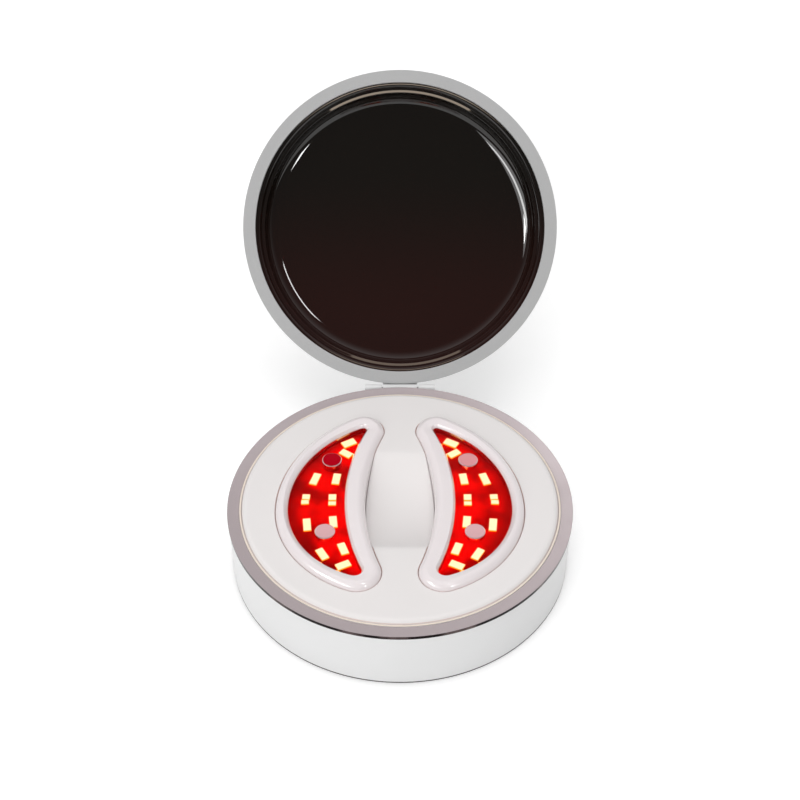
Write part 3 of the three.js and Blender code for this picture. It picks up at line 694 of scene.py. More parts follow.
def joint_painted_lamp_glow(tree, place):
    # The tray's ABS with the lamps' light that leaks into a joint's mouth painted on as a warm
    # tint, plain below it
    sockets = moulded(tree, place, "gap", *MOULDED["Tray ABS Satin"][1:])
    height = node(tree, "SeparateXYZ", {"Vector": place}).outputs["Z"]
    low, high = TRAY_HIGH.z - 1.0 * MM, TRAY_HIGH.z - 0.6 * MM
    share = node(tree, "MapRange", {"Value": height, "From Min": low, "From Max": high})
    shades = {0: share, 6: tint("tray"), 7: sockets["Base Color"]}
    return {**sockets, "Base Color": node(tree, "Mix", shades, data_type="RGBA")}


def ring_side_painted_reflection(tree, place):
    # The ring's polished side, with its dark reflection of the room painted into its colour as near
    # black metal, and painted paler stretches of reflection along it
    patch = node(tree, "TexNoise", {"Vector": place, "Scale": 1 / (10 * MM), "Detail": 2.0})
    limits = {"Value": patch, "From Min": 0.5, "From Max": 0.72}
    share = node(tree, "MapRange", limits, interpolation_type="SMOOTHSTEP")
    shades = {0: share, 6: tint("ring_side_reflection_paint"), 7: tint("#7a6a69")}
    hue = node(tree, "Mix", shades, data_type="RGBA")
    return {"Base Color": hue, "Metallic": 1.0, "Roughness": 0.18}


def dish_black(tree, place):
    # Polycarbonate, polished to piano black: near mirror, with a painted red reflection of the lit
    # windows towards the hinge
    up_the_lid = (0.0, 0.667, 0.745)
    along = node(tree, "VectorMath", {0: place, 1: up_the_lid}, operation="DOT_PRODUCT")
    limits = {"Value": along, "From Min": 60 * MM, "From Max": 110 * MM}
    share = node(tree, "MapRange", limits, interpolation_type="SMOOTHSTEP")
    shades = {0: share, 6: tint("dish_red_reflection_paint"), 7: tint("dish")}
    hue = node(tree, "Mix", shades, data_type="RGBA")
    swirl = node(tree, "TexNoise", {"Vector": place, "Scale": 1 / (6 * MM), "Detail": 2.0})
    relief = node(tree, "Bump", {"Height": swirl, "Distance": 0.004 * MM, "Strength": 0.4})
    return {"Base Color": hue, "Roughness": 0.04, "IOR": 1.58, "Normal": relief}


def window_acrylic(tree, place):
    # Cast acrylic, polished and coated against glare: clear, as the red comes from below it
    ripple = node(tree, "TexNoise", {"Vector": place, "Scale": 1 / (5 * MM), "Detail": 1.0})
    relief = node(tree, "Bump", {"Height": ripple, "Distance": 0.004 * MM, "Strength": 0.5})
    return {
        "Base Color": tint("window"),
        "Roughness": 0.01,
        "IOR": 1.15,
        "Transmission Weight": 1.0,
        "Specular IOR Level": 0.0,
        "Specular Tint": (1.0, 0.1, 0.08, 1.0),
        "Normal": relief,
    }


def window_wall_painted_red_light(tree, place):
    # The casing's inner wall beside the lamps, with the lamps' red light painted into its colour
    # and a faint painted red glow: glossy, so the lamps streak in it
    patch = node(tree, "TexNoise", {"Vector": place, "Scale": 1 / (4 * MM), "Detail": 2.0})
    shades = {0: patch, 6: tint("#980002"), 7: tint("#580001")}
    return {
        "Base Color": node(tree, "Mix", shades, data_type="RGBA"),
        "Roughness": 0.12,
        "IOR": 1.53,
        "Emission Color": tint("#ff0000"),
        "Emission Strength": 0.06,
    }


def board_painted_glow(tree, place):
    # Solder mask with its own lamps' light painted on as a red glow: a saturated red, deeper where
    # no lamp is near
    patch = node(tree, "TexNoise", {"Vector": place, "Scale": 1 / (9 * MM), "Detail": 3.0})
    # Patches of painted glow where the lamps stand
    limits = {"From Min": 0.32, "From Max": 0.55, "To Min": 0.2, "To Max": 0.78}
    light = node(tree, "MapRange", {"Value": patch, **limits}, interpolation_type="SMOOTHSTEP")
    # The painted glow falls off towards the outer wall
    flat = node(tree, "VectorMath", {0: place, 1: (1.0, 1.0, 0.0)}, operation="MULTIPLY")
    reach = node(tree, "VectorMath", {0: flat}, operation="LENGTH")
    limits = {"From Min": 25 * MM, "From Max": 28.5 * MM, "To Min": 1.0, "To Max": 0.3}
    fall = node(tree, "MapRange", {"Value": reach, **limits}, interpolation_type="SMOOTHSTEP")
    return {
        "Base Color": tint("glow"),
        "Roughness": 0.5,
        "Specular IOR Level": 0.0,
        "Emission Color": tint("#ff0000"),
        "Emission Strength": node(tree, "Math", {0: light, 1: fall}, operation="MULTIPLY"),
    }


def lamp_body(tree, place):
    # White moulded lamp housing, flooded by its own light
    patch = node(tree, "TexNoise", {"Vector": place, "Scale": 1 / (1 * MM), "Detail": 2.0})
    return {
        "Base Color": tint("#f0b030"),
        "Roughness": 0.5,
        "Emission Color": tint("#ffa800"),
        "Emission Strength": node(tree, "MapRange", {"Value": patch, "To Min": 0.8, "To Max": 1.0}),
    }


def lamp_light(tree, place):
    # The lamp's lit face: pale yellow, as a camera sees a lamp too bright for it
    patch = node(tree, "TexNoise", {"Vector": place, "Scale": 1 / (0.8 * MM), "Detail": 2.0})
    limits = {"To Min": 1.25, "To Max": 1.4}
    return {
        "Base Color": tint("#000000"),
        "Roughness": 0.5,
        "Emission Color": tint("lamp"),
        "Emission Strength": node(tree, "MapRange", {"Value": patch, **limits}),
    }


LAYERED = {
    "ABS in a Joint": joint_painted_lamp_glow,
    "Ring Black Nickel": ring_side_painted_reflection,
    "Dish Piano Black": dish_black,
    "Window Acrylic": window_acrylic,
    "Window Wall Lit": window_wall_painted_red_light,
    "Lamp Board Lit": board_painted_glow,
    "Lamp Housing": lamp_body,
    "Lamp Light": lamp_light,
}


def finish(name):
    """The named finish, made the first time that a piece asks for it"""
    if name in bpy.data.materials:
        return bpy.data.materials[name]
    material = bpy.data.materials.new(name)
    tree = emptied(material)
    place = node(tree, "TexCoord").outputs["Object"]
    if name in MOULDED:
        sockets = moulded(tree, place, *MOULDED[name])
    elif name in PLATED:
        sockets = plated(tree, place, *PLATED[name])
    else:
        sockets = LAYERED[name](tree, place)
    surface = node(tree, "BsdfPrincipled", sockets)
    node(tree, "OutputMaterial", {"Surface": surface})
    return material


# Case, base


class EYECASE_OT_sleeve(Operator):
    """Base shell: sleeve with its rim, hinge knuckles and socket slot"""

    bl_idname = "eye_case.add_sleeve"
    bl_label = "Base Sleeve"

    def execute(self, context):
        s = case_sizes()
        wall = s.radius - s.trim_proud
        seat = s.base_height - s.trim_height
        lip_outer = s.radius - s.base_trim_width - LIP_GAP
        lip_inner = lip_outer - LIP_WIDTH
        lip_top = s.base_height + LIP_RISE
        inner = wall - SLEEVE_WALL
        rebate = inner + SLEEVE_REBATE
        rim_under = s.base_height - RIM_DEPTH
        profile = [
            (rebate, COVER_BOTTOM),
            (wall, COVER_BOTTOM, 0.15 * MM),
            (wall, COVER_BOTTOM + CONTACT_SHADOW_BAND),
            (wall, seat, 0.08 * MM),
            (lip_outer, seat),
            (lip_outer, lip_top, 0.12 * MM),
            (lip_inner, lip_top, 0.2 * MM),
            (lip_inner, rim_under),
            (inner, rim_under),
            (inner, COVER_TOP),
            (rebate, COVER_TOP),
        ]
        across = (LID_KNUCKLE + BASE_KNUCKLE) / 2 + SLIP
        root = math.sqrt(wall**2 - (across + BASE_KNUCKLE / 2) ** 2) - GUSSET_ROOT
        tangent = BARREL_RADIUS * math.sqrt(0.5)
        gusset = [
            (root, seat - SLIP),
            (PIN.y, seat - SLIP),
            (PIN.y + tangent, PIN.z - tangent),
            (root, PIN.z - GUSSET_DROP),
        ]
        joins = []
        for x in (-across, across):
            joins.append(bar(BARREL_RADIUS, BASE_KNUCKLE, (x, PIN.y, PIN.z), KNUCKLE_BREAK))
            joins.append(shifted(hinge_arm(gusset, BASE_KNUCKLE), x))
        width, height = SOCKET[0] + SLOT_SLACK, SOCKET[2] + SLOT_SLACK
        cuts = [
            bar(PIN_HOLE, 2 * (across + BASE_KNUCKLE), (0, PIN.y, PIN.z), CUT_BREAK),
            slot_form(width, height, inner - SLOT_CLEAR, wall + SLOT_CLEAR),
        ]

        def look(face, middle, radius):
            # The sleeve's foot band takes the painted contact shadow
            if middle.z < COVER_BOTTOM + CONTACT_SHADOW_BAND and radius > wall - SIDE_BAND:
                return 1
            # The lip's inner wall takes the painted lamp glow of a joint
            if radius < lip_inner + NEAR and middle.z > rim_under:
                return 2
            # The lip's top takes the painted reflection of the ring
            return 3 if radius < lip_outer + NEAR and middle.z > s.base_height else 0

        whole = painted(carved(turned(profile), joins, cuts), look)
        looks = ["Casing ABS", "Seam Rubber", "ABS in a Joint", "Lip ABS"]
        add_piece(whole, "sleeve", "root", ["base_shell"], looks)
        return {"FINISHED"}


def slot_form(width, height, front, back):
    """A slot with round ends, drawn out along Y at the socket's height"""
    bm = bmesh.new()
    reach = (width - height) / 2
    corner = bm.verts.new((reach, front, SOCKET_MIDDLE - height / 2))
    for x in (reach, -reach):
        centre = (x, front, SOCKET_MIDDLE)
        made = bmesh.ops.spin(
            bm, geom=[corner], cent=centre, axis=(0, -1, 0), angle=math.pi, steps=SLOT_STEPS
        )
        corner = bm.verts.new((-x, front, made["geom_last"][0].co.z))
    bm.verts.remove(corner)
    for edge in list(bm.edges):
        bm.edges.remove(edge)
    drawn_out(bm, list(bm.verts), (0, back - front, 0))
    return tidied(bm)


def trim_ring(width, face, back):
    """A flat ring, satin on its face, and polished on its side with a painted dark reflection"""
    outer = case_sizes().radius
    inner = outer - width
    profile = [
        (inner, back),
        (outer, back, 0.05 * MM),
        (outer, face, 0.06 * MM),
        (inner, face, 0.08 * MM),
    ]
    # The side's faces take the painted dark reflection
    return painted(
        turned(profile, 2 * TURN_STEPS),
        lambda item, _, radius: abs(item.normal.z) < 0.5 and radius > outer - SIDE_BAND,
    )


class EYECASE_OT_trim_rings(Operator):
    """Plated rings on the base and on the lid"""

    bl_idname = "eye_case.add_trim_rings"
    bl_label = "Trim Rings"

    def execute(self, context):
        s = case_sizes()
        lower = trim_ring(s.base_trim_width, s.base_height, s.base_height - s.trim_height)
        looks = ["Ring Satin Plating", "Ring Black Nickel"]
        add_piece(lower, "base_ring", "root", ["base_trim_ring"], looks)
        upper = trim_ring(s.lid_trim_width, 0, s.trim_height)
        looks = ["Lid Ring Satin Plating", "Ring Black Nickel"]
        add_to_lid(upper, "lid_ring", ["lid_trim_ring"], looks)
        return {"FINISHED"}


def strip_end():
    """Where the strip between the pockets runs into the flat of the tray"""
    return case_sizes().scoop_reach + STRIP_RUN


def scoop_drop(y):
    """Depth of the finger scoop at a distance from its middle, its ends blended into the tray"""
    s = case_sizes()
    radius = (s.scoop_reach**2 + s.scoop_depth**2) / (2 * s.scoop_depth)

    def soft(at):
        drop = math.sqrt(max(radius**2 - at**2, 0)) - radius + s.scoop_depth
        return (drop + math.hypot(drop, s.scoop_blend)) / 2

    return max(soft(y) - soft(strip_end()), 0.0) if abs(y) < strip_end() else 0.0


class EYECASE_OT_tray(Operator):
    """Tray with its two pockets and the finger scoop between them"""

    bl_idname = "eye_case.add_tray"
    bl_label = "Tray"

    def execute(self, context):
        s = case_sizes()
        plan = body_plan()
        top = s.tray_height
        gap, fillet = s.pocket_gap, s.tray_fillet
        start = crescent(plan, -gap - fillet, top)
        inner_start = OUTER_STEPS + TIP_STEPS
        inner_range = range(inner_start, inner_start + 2 * INNER_STEPS + 1)
        strip = [k for k in inner_range if abs(start[k].y) <= strip_end()]
        drops = [scoop_drop(point.y) if k in strip else 0.0 for k, point in enumerate(start)]
        floor = BACK_LOW.z - SLIP
        bottom = floor - TRAY_WALL
        rows = []
        for c, t in quarter(8):
            row = crescent(plan, -gap - fillet * (1 - t), top - fillet * (1 - c))
            rows.append([p - Vector((0, 0, drop)) for p, drop in zip(row, drops)])
        soft = 0.5 * MM
        for c, t in quarter(4):
            rows.append(crescent(plan, -gap + soft * (1 - c), floor + soft * (1 - t)))
        bm = bmesh.new()
        for side in (1, -1):
            flipped = [[Vector((side * p.x, p.y, p.z)) for p in row] for row in rows]
            _, last = lofted(bm, flipped)
            holes = [
                bore(bm, (side * x, y), STUD_RADIUS + SLIP, bottom, floor, HOLE_STEPS)
                for x, y in CONTACTS.values()
            ]
            filled(bm, last, *[upper for upper, _ in holes])
        # The strip between the pockets, its rows at the pockets' own points
        places = [start[k] for k in strip]
        spans = len(places) - 1
        made = bmesh.ops.create_grid(bm, x_segments=STRIP_STEPS, y_segments=spans, size=1.0)
        for vert in made["verts"]:
            place = places[round((vert.co.y + 1) / 2 * spans)]
            vert.co = (vert.co.x * place.x, place.y, top - scoop_drop(place.y))
        # The rounded edge, the flange under the rim, and the foot of the tray
        lip_inner = s.radius - s.base_trim_width - LIP_GAP - LIP_WIDTH
        outside = lip_inner - TRAY_SLIP
        flange = outside + TRAY_FLANGE
        flange_top = s.base_height - RIM_DEPTH - TOUCH
        flange_under = s.base_height - RIM_DEPTH - TRAY_WALL
        foot = outside - TRAY_FOOT
        edge_width, edge_drop = 1.5 * MM, 1.2 * MM
        profile = [
            *((outside - edge_width * (1 - t), top - edge_drop * (1 - c)) for c, t in quarter(8)),
            (outside, flange_top),
            (flange, flange_top),
            (flange, flange_under),
            (foot, flange_under),
            (foot, bottom),
        ]
        corners = [bm.verts.new((r, 0, z)) for r, z in profile]
        lines = [bm.edges.new(pair) for pair in zip(corners, corners[1:])]
        spun(bm, corners + lines, TURN_STEPS)
        bmesh.ops.remove_doubles(bm, verts=bm.verts, dist=STRIP_MERGE)

        def look(face, middle, radius):
            # Pocket walls and the tray's outer side take the painted lamp glow of a joint
            wall = abs(face.normal.z) < 0.5 and floor < middle.z < top - 0.5 * fillet
            return wall or (radius > outside - 0.2 * MM and middle.z < top - 1.1 * MM)

        painted(bm, look)
        for height in (top, bottom):
            edges = [
                item
                for item in bm.edges
                if item.is_boundary and all(abs(v.co.z - height) < 0.01 * MM for v in item.verts)
            ]
            bmesh.ops.triangle_fill(bm, use_beauty=True, use_dissolve=False, edges=edges)
        looks = ["Tray ABS Satin", "ABS in a Joint"]
        add_piece(bm, "tray", "root", ["inner_tray"], looks, 50.0)
        return {"FINISHED"}


class EYECASE_OT_underside(Operator):
    """Bottom cover, foot pad and the studs that charge the massagers"""

    bl_idname = "eye_case.add_underside"
    bl_label = "Underside"

    def execute(self, context):
        s = case_sizes()
        foot = s.foot_radius
        cover_radius = s.radius - s.trim_proud - SLEEVE_WALL + SLEEVE_REBATE - SLIP
        profile = [
            (0, COVER_RECESS),
            (foot + SLIP, COVER_RECESS),
            (foot + SLIP, COVER_BOTTOM, 0.15 * MM),
            (cover_radius, COVER_BOTTOM, 0.2 * MM),
            (cover_radius, COVER_TOP),
            (0, COVER_TOP),
        ]
        looks = ["Casing ABS"]
        add_piece(turned(profile), "bottom_plate", "root", ["bottom_cover"], looks)
        groove = 0.25 * MM
        profile = [(0, 0)]
        for share in (0.55, 0.8, 0.94):
            r = foot * share
            profile += [
                (r - 0.5 * MM, 0, 0.1 * MM),
                (r - 0.3 * MM, groove, 0.05 * MM),
                (r + 0.3 * MM, groove, 0.05 * MM),
                (r + 0.5 * MM, 0, 0.1 * MM),
            ]
        profile += [(foot, 0, 0.3 * MM), (foot, FOOT_TOP), (0, FOOT_TOP)]
        looks = ["Foot Rubber"]
        add_piece(turned(profile), "foot", "root", ["foot_pad"], looks)
        stud_top = BACK_LOW.z - TOUCH
        profile = [
            (0, STUD_LOW),
            (STUD_RADIUS, STUD_LOW),
            (STUD_RADIUS, stud_top, 0.25 * MM),
            (0, stud_top),
        ]
        looks = ["Gold Plate"]
        for side, turn in zip(SIDES, (-1, 1)):
            for place, (x, y) in CONTACTS.items():
                stud = shifted(turned(profile, SMALL_TURN_STEPS), turn * x * MM, y * MM)
                nodes = [f"{side}_pocket_contact_{place}"]
                add_piece(stud, f"{side}_stud_{place}", "root", nodes, looks)
        return {"FINISHED"}


class EYECASE_OT_socket(Operator):
    """Charging socket: drawn can, and the tongue with its contacts"""

    bl_idname = "eye_case.add_socket"
    bl_label = "Charging Socket"

    def execute(self, context):
        s = case_sizes()
        width, depth, height = SOCKET
        mouth = s.radius - s.trim_proud - SLIP
        bottom = mouth - SOCKET_DEPTH
        hollow = (width - 2 * SOCKET_SKIN, height - 2 * SOCKET_SKIN, bottom, mouth + 1 * MM)
        can = carved(slot_form(width, height, mouth - depth, mouth), cuts=[slot_form(*hollow)])
        tongue = block((0, bottom + TONGUE_MIDDLE, SOCKET_MIDDLE), TONGUE, 1)
        eased(tongue, tongue.edges[:], TONGUE_BREAK)
        rows = [(k - (TERMINALS - 1) / 2) * TERMINAL_PITCH for k in range(TERMINALS)]
        pins = [block((x, bottom + TERMINAL_MIDDLE, SOCKET_MIDDLE), TERMINAL, 2) for x in rows]
        whole = merged(can, tongue, *pins)
        looks = ["Nickel Plate", "Socket Nylon", "Gold Plate"]
        add_piece(whole, "charging_socket", "root", ["usb_socket"], looks)
        return {"FINISHED"}


class EYECASE_OT_hinge_pin(Operator):
    """Hinge pin with broken ends"""

    bl_idname = "eye_case.add_hinge_pin"
    bl_label = "Hinge Pin"

    def execute(self, context):
        pin = bar(PIN_RADIUS, LID_KNUCKLE + 2 * BASE_KNUCKLE, PIN, EDGE_BREAK)
        add_piece(pin, "pin", "root", ["hinge_pin"], ["Nickel Plate"])
        return {"FINISHED"}


# Case, lid


class EYECASE_OT_lid_shell(Operator):
    """Lid's crowned cap with its hinge arm"""

    bl_idname = "eye_case.add_lid_shell"
    bl_label = "Lid Cap"

    def execute(self, context):
        s = case_sizes()
        wall = s.radius - s.trim_proud
        inner = wall - CAP_WALL
        back = s.dish_depth + CAP_FLOOR
        front = s.trim_height + TOUCH
        crown = [
            (wall * share, s.lid_height + s.lid_crown * (1 - share**2))
            for share in (0.8, 0.6, 0.45, 0.3, 0.15)
        ]
        profile = [
            (inner, front),
            (wall, front, 0.08 * MM),
            (wall, s.lid_height, s.lid_fillet),
            *crown,
            (0, s.lid_height + s.lid_crown),
            (0, back),
            (inner - CAP_WALL, back),
            (inner, back - CAP_WALL),
        ]
        pin_z = PIN.z - s.base_height - LID_GAP
        stop_y = PIN.y + STOP_REACH * math.cos(STOP_ANGLE)
        stop_z = pin_z + STOP_REACH * math.sin(STOP_ANGLE)
        root = ARM_ROOT + s.lid_fillet
        under = s.trim_height + SLIP
        section = [
            (s.radius + SLIP, pin_z),
            (stop_y - BARREL_RADIUS, stop_z - BARREL_RADIUS / 2),
            (stop_y, stop_z),
            (PIN.y + BARREL_RADIUS, pin_z + BARREL_RADIUS),
            (PIN.y + BARREL_RADIUS, ARM_TOP),
            (wall, root),
            (wall - ARM_SUNK, root),
            (wall - ARM_SUNK, under),
            (s.radius + SLIP, under),
        ]
        joins = [
            hinge_arm(section, LID_KNUCKLE, EDGE_BREAK),
            bar(BARREL_RADIUS, LID_KNUCKLE, (0, PIN.y, pin_z), EDGE_BREAK),
        ]
        cuts = [bar(PIN_HOLE, 2 * LID_KNUCKLE, (0, PIN.y, pin_z), CUT_BREAK)]
        whole = carved(turned(profile), joins, cuts)
        add_to_lid(whole, "lid_cap", ["lid_shell"], ["Casing ABS"])
        return {"FINISHED"}


class EYECASE_OT_lid_dish(Operator):
    """Gloss black dish inside the lid: its bowl, and the stepped brim round it"""

    bl_idname = "eye_case.add_lid_dish"
    bl_label = "Lid Dish"

    def execute(self, context):
        s = case_sizes()
        mouth = s.radius - s.lid_trim_width
        front = s.trim_height + TOUCH
        brow = mouth - s.dish_step
        ledge = front + DISH_LEDGE
        drop = front + DISH_BROW
        brim = drop + DISH_BRIM
        flange = mouth + DISH_FLANGE
        looks = ["Dish Piano Black"]

        def curve(out, steps):
            reach, deep = brow - s.dish_floor + out, s.dish_depth - brim + out
            return [(s.dish_floor + reach * c, brim + deep * t) for c, t in quarter(steps)]

        profile = [
            *curve(0, 24),
            (0, s.dish_depth),
            (0, s.dish_depth + DISH_WALL),
            *reversed(curve(DISH_WALL, 12)),
        ]
        bowl = turned(profile, 2 * TURN_STEPS)
        add_to_lid(bowl, "dish", ["lid_liner"], looks, 40.0)
        fall = ledge - front
        lip = [(mouth - s.dish_lip * t, front + fall * (1 - c)) for c, t in quarter(12)]
        profile = [
            *lip[:-1],
            (mouth - s.dish_lip, ledge, 0.1 * MM),
            (brow, drop, 0.25 * MM),
            (brow, brim),
            (mouth + TOUCH, brim),
            (mouth + TOUCH, front + DISH_WALL),
            (flange, front + DISH_WALL),
            (flange, front),
        ]
        edge = turned(profile, 2 * TURN_STEPS)
        add_to_lid(edge, "dish_brim", ["lid_liner"], looks, 40.0)
        return {"FINISHED"}


# Massagers


class EYECASE_OT_rims(Operator):
    """Rounded rims round the windows"""

    bl_idname = "eye_case.add_rims"
    bl_label = "Massager Rims"

    def execute(self, context):
        s = massager_sizes()
        body, window = body_plan(), window_plan()
        inset, rise = s.crest_inset, s.crest - s.shoulder
        edge = 0.16 * MM
        rows = [
            crescent(body, EDGE_BREAK, s.parting),
            crescent(body, 0, s.parting + EDGE_BREAK),
            *(crescent(body, inset * (1 - c), s.shoulder + rise * t) for c, t in quarter(12)),
            crescent(window, -WINDOW_BEVEL, WINDOW_BEVEL_TOP),
            crescent(window, -edge, s.window_height + edge),
            crescent(window, 0, s.window_height - edge),
            crescent(window, 0, s.board_top),
            crescent(body, s.wall, s.board_top),
            crescent(body, s.wall, s.parting),
            crescent(body, EDGE_BREAK, s.parting),
        ]
        bm = bmesh.new()
        lofted(bm, rows)

        # The window's wall faces take the painted red light of the lamps
        def look(face, *_):
            heights = [vert.co.z for vert in face.verts]
            low, high = min(heights), max(heights)
            wall = abs(face.normal.z) < 0.1 and high < s.window_height + edge
            return wall and low >= s.board_top - MERGE and high > s.window_height - 2 * edge

        looks = ["Rim ABS Gloss", "Window Wall Lit"]
        whole = painted(tidied(bm), look)
        add_to_massagers(whole, "rim", ["face_frame"], looks)
        return {"FINISHED"}


class EYECASE_OT_windows(Operator):
    """Clear windows with a soft upper edge and holes for the electrodes"""

    bl_idname = "eye_case.add_windows"
    bl_label = "Windows"

    def execute(self, context):
        s = massager_sizes()
        window = window_plan()
        high, edge = s.window_height, s.lens_edge
        low = high - s.lens_thickness
        rows = [crescent(window, LENS_GAP, low)]
        for c, t in quarter(8):
            rows.append(crescent(window, LENS_GAP + edge * (1 - c), high - edge * (1 - t)))
        bm = bmesh.new()
        first, last = lofted(bm, rows)
        radius = s.electrode_radius + LENS_GAP
        holes = [bore(bm, at, radius, low, high) for at in ELECTRODES.values()]
        filled(bm, last, *[upper for upper, _ in holes])
        filled(bm, first, *[lower for _, lower in holes])
        add_to_massagers(bm, "window", ["window_lens"], ["Window Acrylic"])
        return {"FINISHED"}


class EYECASE_OT_electrodes(Operator):
    """Polished pulse electrodes that stand through the windows"""

    bl_idname = "eye_case.add_electrodes"
    bl_label = "Electrodes"

    def execute(self, context):
        s = massager_sizes()
        top = s.window_height + s.electrode_proud
        profile = [
            (0, s.board_top),
            (s.electrode_radius, s.board_top),
            (s.electrode_radius, top, 0.22 * MM),
            (0, top),
        ]
        # Upper electrodes take the painted dark red and rose reflections, lower ones the plain
        # painted pink
        steels = {"upper": (" Dark", " Rose"), "lower": ("", "")}
        for place, (x, y) in ELECTRODES.items():
            # The broken edge's faces take the painted highlight
            pillar = painted(
                turned(profile, SMALL_TURN_STEPS * 2), lambda face, *_: 0.1 < face.normal.z < 0.95
            )
            shifted(pillar, x * MM, y * MM)
            looks = {
                side: [f"Electrode Steel{steel}", "Electrode Buffed Edge"]
                for side, steel in zip(SIDES, steels[place])
            }
            name, nodes = f"electrode_disc_{place}", [f"electrode_{place}"]
            add_to_massagers(pillar, name, nodes, looks)
        return {"FINISHED"}


class EYECASE_OT_lamp_boards(Operator):
    """Lamp boards with their lit lamps"""

    bl_idname = "eye_case.add_lamp_boards"
    bl_label = "Lamp Boards"

    def execute(self, context):
        s = massager_sizes()
        board = bmesh.new()
        faces = (s.board_top - BOARD_THICKNESS, s.board_top)
        low, high = lofted(board, [crescent(body_plan(), s.wall + SLIP, z) for z in faces])
        filled(board, high)
        filled(board, low)
        parts = [board]
        for (x, y), (width, reach), turn in LAMPS:
            middle = (x * MM, y * MM, s.board_top + s.lamp_height / 2)
            lamp = block(middle, (width * MM, reach * MM, s.lamp_height), 1, math.radians(turn))
            face = max(lamp.faces, key=lambda item: item.calc_center_median().z)
            bmesh.ops.inset_region(lamp, faces=[face], thickness=LAMP_FRAME, depth=0.0)
            face.material_index = 2
            parts.append(lamp)
        looks = ["Lamp Board Lit", "Lamp Housing", "Lamp Light"]
        add_to_massagers(merged(*parts), "lamp_board", ["led_board"], looks)
        return {"FINISHED"}


class EYECASE_OT_backs(Operator):
    """Back shells, charging contacts and mode buttons"""

    bl_idname = "eye_case.add_backs"
    bl_label = "Massager Backs"

    def execute(self, context):
        s = massager_sizes()
        body = body_plan()
        seat = s.board_top - BOARD_THICKNESS
        ledge = s.wall + BACK_LEDGE
        rounding = s.back_round
        rows = [
            *(crescent(body, rounding * (1 - t), rounding * (1 - c)) for c, t in quarter(12)),
            crescent(body, 0, s.parting - EDGE_BREAK),
            crescent(body, EDGE_BREAK, s.parting),
            crescent(body, s.wall, s.parting),
            crescent(body, s.wall, seat),
            crescent(body, ledge, seat),
            crescent(body, ledge + BACK_DRAFT, s.floor),
        ]
        bm = bmesh.new()
        outside, inside = lofted(bm, rows)
        holes = [bore(bm, at, CONTACT_RADIUS + TOUCH, 0, s.floor, 32) for at in CONTACTS.values()]
        holes.append(bore(bm, BUTTON, s.button_radius + SLIP, 0, s.floor))
        filled(bm, outside, *[lower for _, lower in holes])
        filled(bm, inside, *[upper for upper, _ in holes])
        add_to_massagers(bm, "back", ["back_shell"], ["Rim ABS Gloss"])
        profile = [
            (0, 0),
            (CONTACT_RADIUS, 0, 0.2 * MM),
            (CONTACT_RADIUS, s.floor),
            (STEM_RADIUS, s.floor),
            (STEM_RADIUS, seat),
            (0, seat),
        ]
        for place, (x, y) in CONTACTS.items():
            contact = shifted(turned(profile, SMALL_TURN_STEPS), x * MM, y * MM)
            name, nodes = f"contact_{place}", [f"charge_contact_{place}"]
            add_to_massagers(contact, name, nodes, ["Gold Plate"])
        radius = s.button_radius
        flange = radius + KEY_FLANGE
        low = s.floor + 0.2 * MM
        high = low + 0.6 * MM
        profile = [
            (0, 0.35 * MM),
            (1.3 * MM, 0.35 * MM, 0.2 * MM),
            (1.9 * MM, 0.2 * MM, 0.15 * MM),
            (radius, 0.2 * MM, 0.25 * MM),
            (radius, low),
            (flange, low),
            (flange, high),
            (KEY_STEM, high),
            (KEY_STEM, high + 0.4 * MM),
            (0, high + 0.4 * MM),
        ]
        button = shifted(turned(profile, SMALL_TURN_STEPS * 2), BUTTON[0] * MM, BUTTON[1] * MM)
        looks = ["Button Soft Grey"]
        add_to_massagers(button, "mode_key", ["mode_button"], looks, "button")
        return {"FINISHED"}


class EYECASE_OT_inner_parts(Operator):
    """Finishes for the parts that the casings cover"""

    bl_idname = "eye_case.finish_inner_parts"
    bl_label = "Inner Parts"

    def execute(self, context):
        looks = {
            "charging_board": "Circuit Board Green",
            "pulse_board": "Circuit Board Green",
            "case_battery": "Cell Foil",
            "cell": "Cell Foil",
            "magnet": "Nickel Plate",
            "screw": "Nickel Plate",
        }
        for name, part in frame["nodes"].items():
            match = [look for word, look in looks.items() if word in name]
            if match and not part.hide_render:
                part.data.materials.clear()
                part.data.materials.append(finish(match[0]))
        return {"FINISHED"}


# Studio

# Lamps that light the object: place, aim, size and power
SOFT_BOXES = {
    "Overhead Box": ((0.0, 0.1, 1.1), (0, 0.02, 0), (1.0, 1.0), 4.6),
    "Key Box": ((-0.4, -0.85, 0.55), (0, 0, 0.03), (0.8, 0.8), 4.5),
}

# Lamps that only the gloss of some pieces shows: place, size, power, colour and those pieces
BOWL, BRIM, RING = ("dish", "left_rim", "right_rim"), ("dish_brim",), ("base_ring",)
WHITE, AMBER = (1.0, 1.0, 1.0), (1.0, 0.82, 0.65)
GLOSS_CARDS = {
    "Left Card": ((-0.594, -0.442, 0.415), (0.68, 0.12), 2.6, WHITE, BOWL),
    "Left Glint": ((-0.707, -0.38, 0.62), (0.14, 0.12), 2.0, WHITE, BOWL),
    "Left Haze": ((-0.6, -0.45, 0.4), (0.68, 0.5), 2.6, WHITE, ("dish",)),
    "Upper Card": ((0.307, -0.351, 0.844), (0.1, 0.2), 0.95, WHITE, BOWL),
    "Right Card": ((0.472, -0.625, 0.357), (0.08, 0.16), 0.9, WHITE, BOWL),
    "Front Card": ((0, -0.79, 0.5), (0.5, 0.3), 2.6, AMBER, BRIM),
    "Top Card": ((0.05, -0.03, 0.95), (0.55, 0.3), 1.2, AMBER, BRIM),
    "Back Card": ((0.03, 0.15, 0.12), (0.2, 0.08), 0.24, WHITE, RING),
}
CARD_AIM = (0, 0.08, 0.055)

